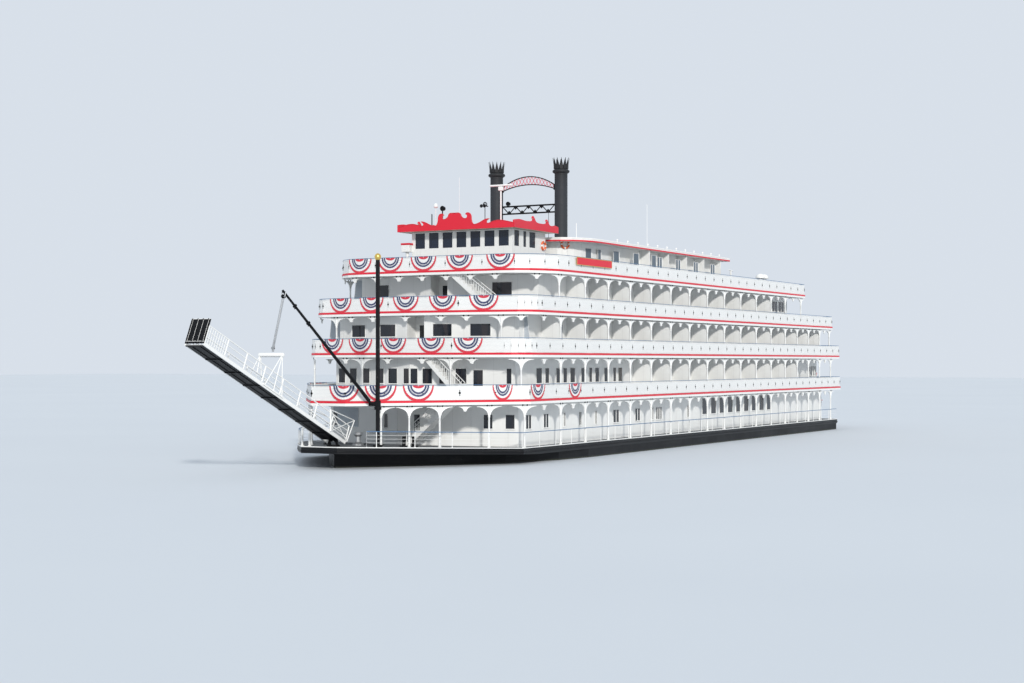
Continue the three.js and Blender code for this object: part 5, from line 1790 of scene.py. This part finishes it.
def stage_rails():
    moves = []
    for bay in range(STAGE_BAYS):
        for side in (1, -1):
            moves.append(placed(STAGE_START + bay * STAGE_BAY, 0, 0, size=(1, side, 1)))
    rails = repeated("rails", stage_bay(), moves)
    rail_ys = (STAGE_HALF - 0.003, -(STAGE_HALF - 0.003))
    ends = [rod("post", (STAGE_END, y, -BEAM_DEPTH), (STAGE_END, y, STAGE_RAIL), 0.004, 8) for y in rail_ys]
    uprights = []
    for step in range(1, LAST_BAY_BARS):
        s = STAGE_END - step * STAGE_BAY / LAST_BAY_BARS
        uprights += [rod("upright", (s, y, BEAM_DEPTH), (s, y, STAGE_RAIL), 0.0024, 6) for y in rail_ys]
    return joined("stage_rails", [rails, *ends, *uprights, side_beam(1), side_beam(-1)])


def heel_frame():
    """The raked frame beside the heel: an upright post, an end post and crossed braces between them."""
    parts = []
    for side in (1, -1):
        y = side * (STAGE_HALF + 0.004)
        low, high = (0.155, y, 0.003), (0.212, y, 0.131)
        end_low, end_high = (-0.045, y, 0.007), (-0.070, y, 0.17)
        parts.append(rod("post", low, high, 0.006, 8))
        parts.append(rod("end", end_low, end_high, 0.004, 8))
        parts += [rod("brace", low, end_high, 0.0028, 6), rod("brace", end_low, high, 0.0028, 6),
                  rod("top", end_high, high, 0.0034, 6)]
    return joined("heel_frame", parts)


def stage_underside():
    """Black pan, cross frames and two girders under the walkway."""
    inner = STAGE_HALF - 0.007
    parts = [soft_block("pan", (0.03, -inner, -0.0105), (STAGE_END, inner, -0.0085), 0.0005)]
    for bay in range(1, STAGE_BAYS + 1):
        s = STAGE_START + bay * STAGE_BAY - 0.003
        parts.append(soft_block("frame", (s - 0.004, -inner, -0.016), (s + 0.004, inner, -0.0105), 0.001))
    for y in (-0.03, 0.03):
        parts.append(soft_block("girder", (0.04, y - 0.003, -0.014), (STAGE_END - 0.01, y + 0.003, -0.0105),
                                0.0008))
    eyes = [soft_block("eye", (-0.01, y - 0.005, -0.01), (0.04, y + 0.005, 0.008), 0.002)
            for y in (-0.012, 0.012)]
    pin = rod("pin", (0, -0.038, 0), (0, 0.038, 0), 0.004, 10)
    return joined("stage_underside", [*parts, *eyes, pin])


def stage_walkway():
    """Planked tread with a batten across it at each step."""
    inner = STAGE_HALF - 0.007
    tread = soft_block("tread", (0.03, -inner, -0.0082), (STAGE_END, inner, -0.0048), 0.0006)
    batten = soft_block("batten", (0, -inner + 0.006, -0.0048), (0.004, inner - 0.006, -0.0033), 0.0006)
    moves = [placed(0.06 + 0.04 * i, 0, 0) for i in range(37)]
    return joined("stage_walkway", [tread, repeated("battens", batten, moves)])


def portal():
    s, height = PORTAL_BAR
    bar = soft_block("bar", (s - 0.012, -0.098, height - 0.016), (s + 0.012, 0.098, height + 0.008), 0.006, 3)
    parts = [smoothed(bar)]
    for side in (1, -1):
        for foot in (0.73, 0.825, 0.92):
            parts.append(rod("leg", (foot, side * (STAGE_HALF + 0.0035), 0.004), (s, side * 0.086, height),
                             0.0034, 8))
        low_y, high_y = sorted((side * 0.074, side * 0.079))
        parts.append(soft_block("plate", (0.715, low_y, 0.0), (0.935, high_y, 0.011), 0.001))
    return joined("lifting_portal", parts)


mounted(moved(stage_rails(), STAGE_PLACE), TRIM_WHITE, "stage", replacing=["stage"])
mounted(moved(heel_frame(), STAGE_PLACE), TRIM_WHITE, "stage")
mounted(moved(stage_underside(), STAGE_PLACE), FITTING_BLACK, "stage")
mounted(moved(stage_walkway(), STAGE_PLACE), DECK_PAINT, "stage")
mounted(moved(portal(), STAGE_PLACE), TRIM_WHITE, "stage", replacing=["stage_portal"])
print("stage of", STAGE_BAYS, "bays tilted into place")

# %% [markdown]
# The flap at the stage's outer end is a black ramp that stands up while the boat is under way. Pale ribs
# stiffen it, and a pale bar edges it, so those ride with the flap and the CAD plate stays behind them.

# %% Ribs of the flap
FLAP_FACE = 1.5476  # the plate's outer face along the stage
FLAP_HALF = 0.072
FLAP_HIGH = 0.16


def flap_ribs():
    ribs = [soft_block("rib", (FLAP_FACE + 0.0005, y - 0.0036, 0.009),
                       (FLAP_FACE + 0.0035, y + 0.0036, FLAP_HIGH), 0.0008)
            for y in (-0.06, -0.02, 0.02, 0.06)]
    edges = [soft_block("edge", (FLAP_FACE - 0.0065, -FLAP_HALF, height),
                        (FLAP_FACE + 0.0002, FLAP_HALF, height + 0.004), 0.0008)
             for height in (0.012, FLAP_HIGH - 0.003)]
    return joined("flap_ribs", [*ribs, *edges])


mounted(moved(flap_ribs(), STAGE_PLACE), TRIM_WHITE, "flap")
print("flap edged in white")

# %% [markdown]
# A name board hangs on each side of the top deck's rail. It is left blank here: a red board with a raised
# gilt border. The mast carries a gilded ball, and a white hoop on the starboard bow takes the mooring
# lines.

# %% Name boards, mast ball and mooring hoop
BOARD = {"low": (1.44, 0.9465, 1.615), "high": (2.027, 0.9500, 1.672)}
MAST_PLACE = (3.65, 0.295)


def name_board(side):
    low, high = BOARD["low"], BOARD["high"]
    ys = sorted((side * low[1], side * high[1]))
    board = block("board", (low[0], ys[0], low[2]), (high[0], ys[1], high[2]))
    chosen(board, "FACE", lambda face: face.normal.y * side > 0.9)
    bpy.ops.mesh.inset(thickness=0.0035, depth=-0.001)
    return two_toned(done(board), GILT, BRIGHT_RED, lambda face: face.select)


for name, side in SIDES.items():
    mounted(name_board(side), None).name = f"name_board_{name}"
ball_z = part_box("mast")[1].z - 0.02
# radius of the ball, and height above its middle
BALL_PROFILE = [(0.004, -0.026), (0.012, -0.024), (0.0185, -0.013), (0.0225, 0), (0.0185, 0.013),
                (0.012, 0.0195), (0.003, 0.024)]
profile = [(radius, ball_z + rise) for radius, rise in BALL_PROFILE]
ball = smoothed(turned("mast_ball", profile, 20, placed(*MAST_PLACE, 0)), 60)
mounted(ball, GILT)

HOOP = {"x": 3.82, "y": -0.165, "half": 0.03, "height": 0.125, "corner": 0.022}
hoop_foot = deck_top(1, HOOP["x"])


def on_hoop(across, height):
    """The place on the hoop's plane this far from its middle and above the deck."""
    return (HOOP["x"], HOOP["y"] + across, hoop_foot + height)


shoulder = HOOP["height"] - HOOP["corner"]
bend = [on_hoop(HOOP["half"] * math.cos(a), shoulder + HOOP["corner"] * math.sin(a)) for a in turns(20)[:11]]
ends = [on_hoop(HOOP["half"], 0), on_hoop(-HOOP["half"], 0)]
hoop = pipe("mooring_hoop", [ends[0], *bend, ends[1]], 0.0075, 12, closed=False)
profile = [(0.013, 0), (0.013, 0.004), (0.009, 0.006)]
feet = [turned("foot", profile, 12, placed(*end)) for end in reversed(ends)]
mounted(joined("mooring_hoop", [hoop, *feet]), TRIM_WHITE)
print("boards, ball and hoop made")

# %% [markdown]
# The roofs carry the boat's instruments: radar, horn, searchlights, whip aerials and a row of small white
# lamps along the top roof's edge. Slim posts come from one table, and each special piece has its own
# function.

# %% Posts, aerials and lamps on the roofs
TOP_ROOF_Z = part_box("top_roof")[1].z
DECK_5_Z = deck_top(5)
# x, y, foot, top, radius, and whether the post is white
POSTS = [
    (1.80, 0.184, ROOF_TOP, 2.245, 0.006, True),
    (1.80, 0.044, ROOF_TOP, 2.135, 0.0028, False),
    (2.00, -0.275, ROOF_TOP, 2.085, 0.0028, True),
    (2.00, -0.215, ROOF_TOP, 2.062, 0.0045, False),
    (2.00, -0.310, ROOF_TOP, 2.040, 0.0040, False),
    (1.80, -0.185, ROOF_TOP, 2.335, 0.0013, True),
    (1.40, 0.384, TOP_ROOF_Z, 2.080, 0.0016, False),
    (1.25, 0.550, TOP_ROOF_Z, 1.990, 0.0030, True),
    (-0.19, 0.500, TOP_ROOF_Z, 2.260, 0.0018, True),
    (2.10, -0.470, DECK_5_Z, 1.746, 0.0120, True),
]
LAMP_PITCH = 0.197
LAMP_RUN = (0.8, -1.55)


def posts(white):
    parts = []
    for x, y, foot, top, radius, is_white in POSTS:
        if is_white == white:
            collar = min(0.03, radius * 2.4)
            profile = [(collar, 0), (collar, 0.004), (radius, 0.007), (radius, top - foot - 0.004),
                       (radius * 0.6, top - foot)]
            parts.append(turned("post", profile, 10, placed(x, y, foot)))
    return joined("white_posts" if white else "dark_posts", parts)


def radar():
    gear = soft_block("gear", (1.787, 0.166, 2.212), (1.813, 0.202, 2.243), 0.004, 2)
    scanner = soft_block("scanner", (1.789, 0.089, 2.245), (1.811, 0.279, 2.259), 0.005, 3)
    profile = [(0.010, 2.085), (0.0155, 2.089), (0.0162, 2.102), (0.013, 2.114), (0.006, 2.120)]
    dome = smoothed(turned("dome", profile, 16, placed(2.0, -0.275, 0)), 60)
    return joined("radar_and_dome", [gear, scanner, dome])


def drum(x, y, z, radius, length):
    """A searchlight: a drum with a rim round its glass, pointing forward."""
    profile = [(radius * 0.4, -length), (radius * 0.85, -length * 0.8), (radius, 0), (radius * 1.08, 0.001),
               (radius * 1.08, 0.004), (radius * 0.9, 0.004), (radius * 0.85, 0.001)]
    return smoothed(turned("drum", profile, 16, placed(x, y, z) @ FORWARD), 40)


def horn_and_lights():
    lights = [drum(2.0, -0.215, 2.078, 0.019, 0.026), drum(1.03, -0.185, 2.193, 0.017, 0.024)]
    profile = [(0.004, 0), (0.0045, 0.03), (0.008, 0.045), (0.014, 0.052), (0.012, 0.052)]
    trumpets = [smoothed(turned("trumpet", profile, 12, placed(1.78, y, 2.10) @ FORWARD), 40)
                for y in (0.030, 0.058)]
    ring = pipe("ring", [(1.80, 0.044 + 0.016 * math.cos(a), 2.113 + 0.016 * math.sin(a)) for a in turns(16)],
                0.0035)
    foot = rod("foot", (1.03, -0.185, TRUSS_HIGH), (1.03, -0.185, 2.18), 0.004, 8)
    return joined("horn_and_searchlights", [*lights, *trumpets, ring, foot])


def edge_lamps():
    lamp = turned("lamp", [(0.007, 0), (0.007, 0.004), (0.0045, 0.006), (0.0045, 0.010), (0.0085, 0.014),
                           (0.0085, 0.019), (0.005, 0.024)], 12)
    count = int((LAMP_RUN[0] - LAMP_RUN[1]) / LAMP_PITCH) + 1
    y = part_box("top_roof")[1].y - 0.012
    moves = [placed(LAMP_RUN[0] - i * LAMP_PITCH, side * y, TOP_ROOF_Z)
             for i in range(count) for side in (1, -1)]
    return repeated("roof_edge_lamps", smoothed(lamp, 40), moves)


mounted(posts(True), TRIM_WHITE)
mounted(posts(False), FITTING_BLACK)
mounted(radar(), TRIM_WHITE)
mounted(horn_and_lights(), FITTING_BLACK)
mounted(edge_lamps(), TRIM_WHITE)
print(len(POSTS), "posts and the roof's lamps stand")

# %% [markdown]
# Small things in plain sight make the top deck believable: two life rings, a light box with a red lid, a
# pair of mushroom vents and a T-shaped davit aft. A life ring is a round pipe; four of its bands are given
# the white finish by their place round the ring.

# %% Life rings, light box, vents and davit
LIFE_RING_RADIUS = 0.030
LIFE_RING_THICK = 0.0075  # radius of the ring's own round section
BAND_HALF_ANGLE = 12  # degrees to each side of a white band's middle


def life_ring():
    """A life ring that lies against a wall, its back at y 0 and its face towards -Y, its foot at z 0."""
    points = [(LIFE_RING_RADIUS * math.cos(a), -LIFE_RING_THICK, LIFE_RING_RADIUS * (1 + math.sin(a)))
              for a in turns(32)]
    ring = pipe("ring", points, LIFE_RING_THICK, 12)

    def on_band(face):
        angle = math.degrees(math.atan2(face.center.z - LIFE_RING_RADIUS, face.center.x))
        return abs((angle + 45) % 90 - 45) < BAND_HALF_ANGLE

    return two_toned(ring, RING_ORANGE, TRIM_WHITE, on_band)


RING_ORANGE = drifting("life_ring_orange", (0.75, 0.10, 0.03), (0.85, 0.20, 0.06), (40, 3),
                       ((120, 2), 0.0006, 0.4), roughness=0.55)
rings = [repeated("ring", life_ring(), [move]) for move in (
    placed(1.60, PILOT_HIGH.y, 1.765, math.pi), placed(1.60, -PILOT_HIGH.y, 1.765, 0),
    on_wall("top_house", 0, 1.36, 1, 1.79), on_wall("top_house", 0, 1.36, -1, 1.79))]
mounted(joined("life_rings", rings), None)

light_box = soft_block("box", (2.07, -0.507, 1.746), (2.13, -0.433, 1.800), 0.004, 2)
lid = soft_block("lid", (2.067, -0.511, 1.800), (2.133, -0.429, 1.815), 0.005, 2)
whole_box = joined("light_box", [painted(light_box, TRIM_WHITE), painted(lid, BRIGHT_RED)])
mounted(whole_box, None)


VENT_PROFILE = [(0.03, 0), (0.03, 0.006), (0.024, 0.01), (0.024, 0.15), (0.045, 0.155), (0.045, 0.165),
                (0.035, 0.185), (0.012, 0.197)]
AFT_Y = 0.65
DAVIT_PROFILE = [(0.02, 0), (0.02, 0.005), (0.009, 0.008), (0.008, 0.19)]


def vents_and_davit():
    """On each side two mushroom vents, and forward of them a post with a short arm across it."""
    parts = []
    for y in (AFT_Y, -AFT_Y):
        parts += [smoothed(turned("vent", VENT_PROFILE, 16, placed(x, y, DECK_5_Z)), 40)
                  for x in (-2.53, -2.63)]
        parts.append(turned("post", DAVIT_PROFILE, 12, placed(-1.75, y, DECK_5_Z)))
        parts.append(rod("arm", (-1.80, y, DECK_5_Z + 0.19), (-1.70, y, DECK_5_Z + 0.195), 0.006, 8, 0.005))
    return joined("vents_and_davits", parts)


mounted(vents_and_davit(), TRIM_WHITE)
print("top deck's small things made")

# %% [markdown]
# The stern wheel is timber on three iron-bound frames: a hub, twelve arms, two rings that hold the arms
# apart, and a bucket of three planks at each arm's end. One arm and one bucket are modelled upright and
# turned round the shaft.

# %% The stern wheel
WHEEL_CENTRE = (-4.52, 0, 0.47)
WHEEL_ARMS = 12
WHEEL_FRAMES = (-0.46, 0, 0.46)
WHEEL_HALF = 0.50


def round_shaft(arm):
    return Matrix.Translation(WHEEL_CENTRE) @ Matrix.Rotation(2 * math.pi * arm / WHEEL_ARMS, 4, "Y")


def wheel_arm():
    """A plank from the hub to the buckets, with an iron strap round it at each ring."""
    plank = soft_block("arm", (-0.009, -0.0065, 0.04), (0.009, 0.0065, 0.352), 0.0015)
    straps = [soft_block("strap", (-0.0105, -0.008, z), (0.0105, 0.008, z + 0.012), 0.001)
              for z in (0.165, 0.266)]
    return joined("arm", [painted(plank, WHEEL_RED), *(painted(strap, FITTING_BLACK) for strap in straps)])


def wheel_bucket():
    """Three planks on edge, bolted to cleats at each frame."""
    planks = [soft_block("plank", (0.009, -WHEEL_HALF, 0.291 + 0.023 * i),
                         (0.0165, WHEEL_HALF, 0.312 + 0.023 * i), 0.001) for i in range(3)]
    cleats = [block("cleat", (0.0165, y - 0.008, 0.288), (0.0185, y + 0.008, 0.358)) for y in WHEEL_FRAMES]
    return joined("bucket", [*(painted(plank, WHEEL_RED) for plank in planks),
                             *(painted(bevelled(cleat, 0.0008), FITTING_BLACK) for cleat in cleats)])


def wheel_ring(radius):
    circle = [Vector((radius * math.cos(a), radius * math.sin(a))) for a in turns(48)]
    return painted(strip("ring", circle, -0.0045, 0.0045, 0.014), WHEEL_RED)


def wheel_shaft():
    profile = [(0.019, -0.6), (0.025, -0.597)]
    for y in WHEEL_FRAMES:
        flange = [(0.025, -0.026), (0.052, -0.024), (0.052, -0.014), (0.062, -0.012)]
        profile += [(radius, y + z) for radius, z in flange]
        profile += [(radius, y - z) for radius, z in reversed(flange)]
    profile += [(0.025, 0.597), (0.019, 0.6)]
    shaft = moved(smoothed(turned("shaft", profile, 24), 30), Matrix.Rotation(-math.pi / 2, 4, "X"))
    return painted(shaft, FITTING_BLACK)


def stern_wheel():
    upright = Matrix.Rotation(math.pi / 2, 4, "X")
    arms = repeated("arms", wheel_arm(), [placed(0, y, 0) @ round_shaft(arm)
                                          for y in WHEEL_FRAMES for arm in range(WHEEL_ARMS)])
    buckets = repeated("buckets", wheel_bucket(), [round_shaft(arm) for arm in range(WHEEL_ARMS)])
    rings = [repeated("rings", wheel_ring(radius), [placed(WHEEL_CENTRE[0], y, WHEEL_CENTRE[2]) @ upright
                                                    for y in WHEEL_FRAMES]) for radius in (0.171, 0.272)]
    shaft = repeated("shaft", wheel_shaft(), [Matrix.Translation(WHEEL_CENTRE)])
    braces = []
    for arm in range(0, WHEEL_ARMS, 2):
        for side in (1, -1):
            brace = rod("brace", (0, side * 0.44, 0.07), (0, side * 0.014, 0.262), 0.0035, 6)
            braces.append(repeated("brace", painted(brace, FITTING_BLACK), [round_shaft(arm)]))
    return joined("stern_wheel", [arms, buckets, *rings, shaft, *braces])


mounted(stern_wheel(), None, "wheel", replacing=["paddle_wheel"])
print("stern wheel with", WHEEL_ARMS, "buckets")

# %% [markdown]
# A stair reads as a stair by its balusters. The CAD flight has its steps and hand rails, so thin uprights
# are added between them, spaced along the flight from its foot to its head.

# %% Balusters of the stairs
BALUSTERS = 18
# the y of each stair's foot and head
STAIR_RUN = {"stair_main": (0.15, 0.53), "stair_2": (0.46, 0.13), "stair_4": (0.54, 0.17)}
HAND_HEIGHT = 0.088


def stair_balusters(node, foot_y, head_y):
    low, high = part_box(node)
    rise = (high.z - low.z - HAND_HEIGHT) / (BALUSTERS + 1)
    parts = []
    for x in (low.x + 0.004, high.x - 0.004):
        for step in range(1, BALUSTERS):
            share = (step + 0.5) / (BALUSTERS + 1)
            y = foot_y + (head_y - foot_y) * share
            z = low.z + rise * (step + 1)
            parts.append(rod("baluster", (x, y, z - 0.004), (x, y, z + HAND_HEIGHT - 0.008), 0.002, 6))
    return joined(f"balusters_{node}", parts)


for node, (foot_y, head_y) in STAIR_RUN.items():
    mounted(stair_balusters(node, foot_y, head_y), TRIM_WHITE)
print("balusters on", len(STAIR_RUN), "stairs")

# %% [markdown]
# The boom lifts the stage by a tackle: several falls of wire between a block at the boom's tip and one over
# the portal's bar. The falls are taut, so they are plain rods. They hang on the hoist's own body, and the
# bands round the boom ride with the boom.

# %% The hoist tackle and the boom's bands
TACKLE_TOP = Vector((4.32, 0.03, 1.335))
TACKLE_FOOT = Vector((4.40, 0.003, 0.985))
FALLS = 4
FALL_PITCH = 0.0055
BOOM_FOOT = Vector((3.6965, 0.2766, 0.63))
BOOM_TIP = Vector((4.32, 0.03, 1.35))
BAND_SHARES = (0.73, 0.88)  # of the boom's length
BAND_RADIUS = 0.0145


def tackle():
    way = (TACKLE_TOP - TACKLE_FOOT).normalized()
    across = way.cross(Vector((1, 0, 0))).normalized()
    parts = []
    for fall in range(FALLS):
        shift = across * (fall - (FALLS - 1) / 2) * FALL_PITCH
        wire = rod("fall", TACKLE_FOOT + way * 0.02 + shift, TACKLE_TOP - way * 0.02 + shift, 0.0016, 6)
        parts.append(painted(wire, STEEL))
    for end, turn, radius, paint in ((TACKLE_TOP, -1, 0.013, FITTING_BLACK), (TACKLE_FOOT, 1, 0.0095, STEEL)):
        middle = end + way * turn * radius

        def disc(name, start_x, end_x, size, sides):
            return rod(name, middle + Vector((start_x, 0, 0)), middle + Vector((end_x, 0, 0)), size, sides)

        cheeks = [disc("cheek", side * 0.007, side * 0.009, radius, 20) for side in (-1, 1)]
        sheave = disc("sheave", -0.005, 0.005, radius * 0.85, 20)
        pin = disc("pin", -0.011, 0.011, 0.003, 8)
        parts += [painted(piece, paint) for piece in (*cheeks, pin)]
        parts.append(painted(sheave, STEEL))
    return joined("hoist_tackle", parts)


def boom_bands():
    """Iron bands round the boom where its fittings sit, each with a small eye below it."""
    way = (BOOM_TIP - BOOM_FOOT).normalized()
    parts = []
    for share in BAND_SHARES:
        middle = BOOM_FOOT.lerp(BOOM_TIP, share)
        parts.append(rod("band", middle - way * 0.006, middle + way * 0.006, BAND_RADIUS, 16))
        parts.append(rod("eye", middle, middle - Vector((0, 0, 0.022)), 0.004, 8))
    return joined("boom_bands", [bevelled(part, 0.0015) for part in parts])


mounted(tackle(), None, "hoist")
mounted(boom_bands(), FITTING_BLACK, "boom")
print("tackle of", FALLS, "falls and", len(BAND_SHARES), "bands")
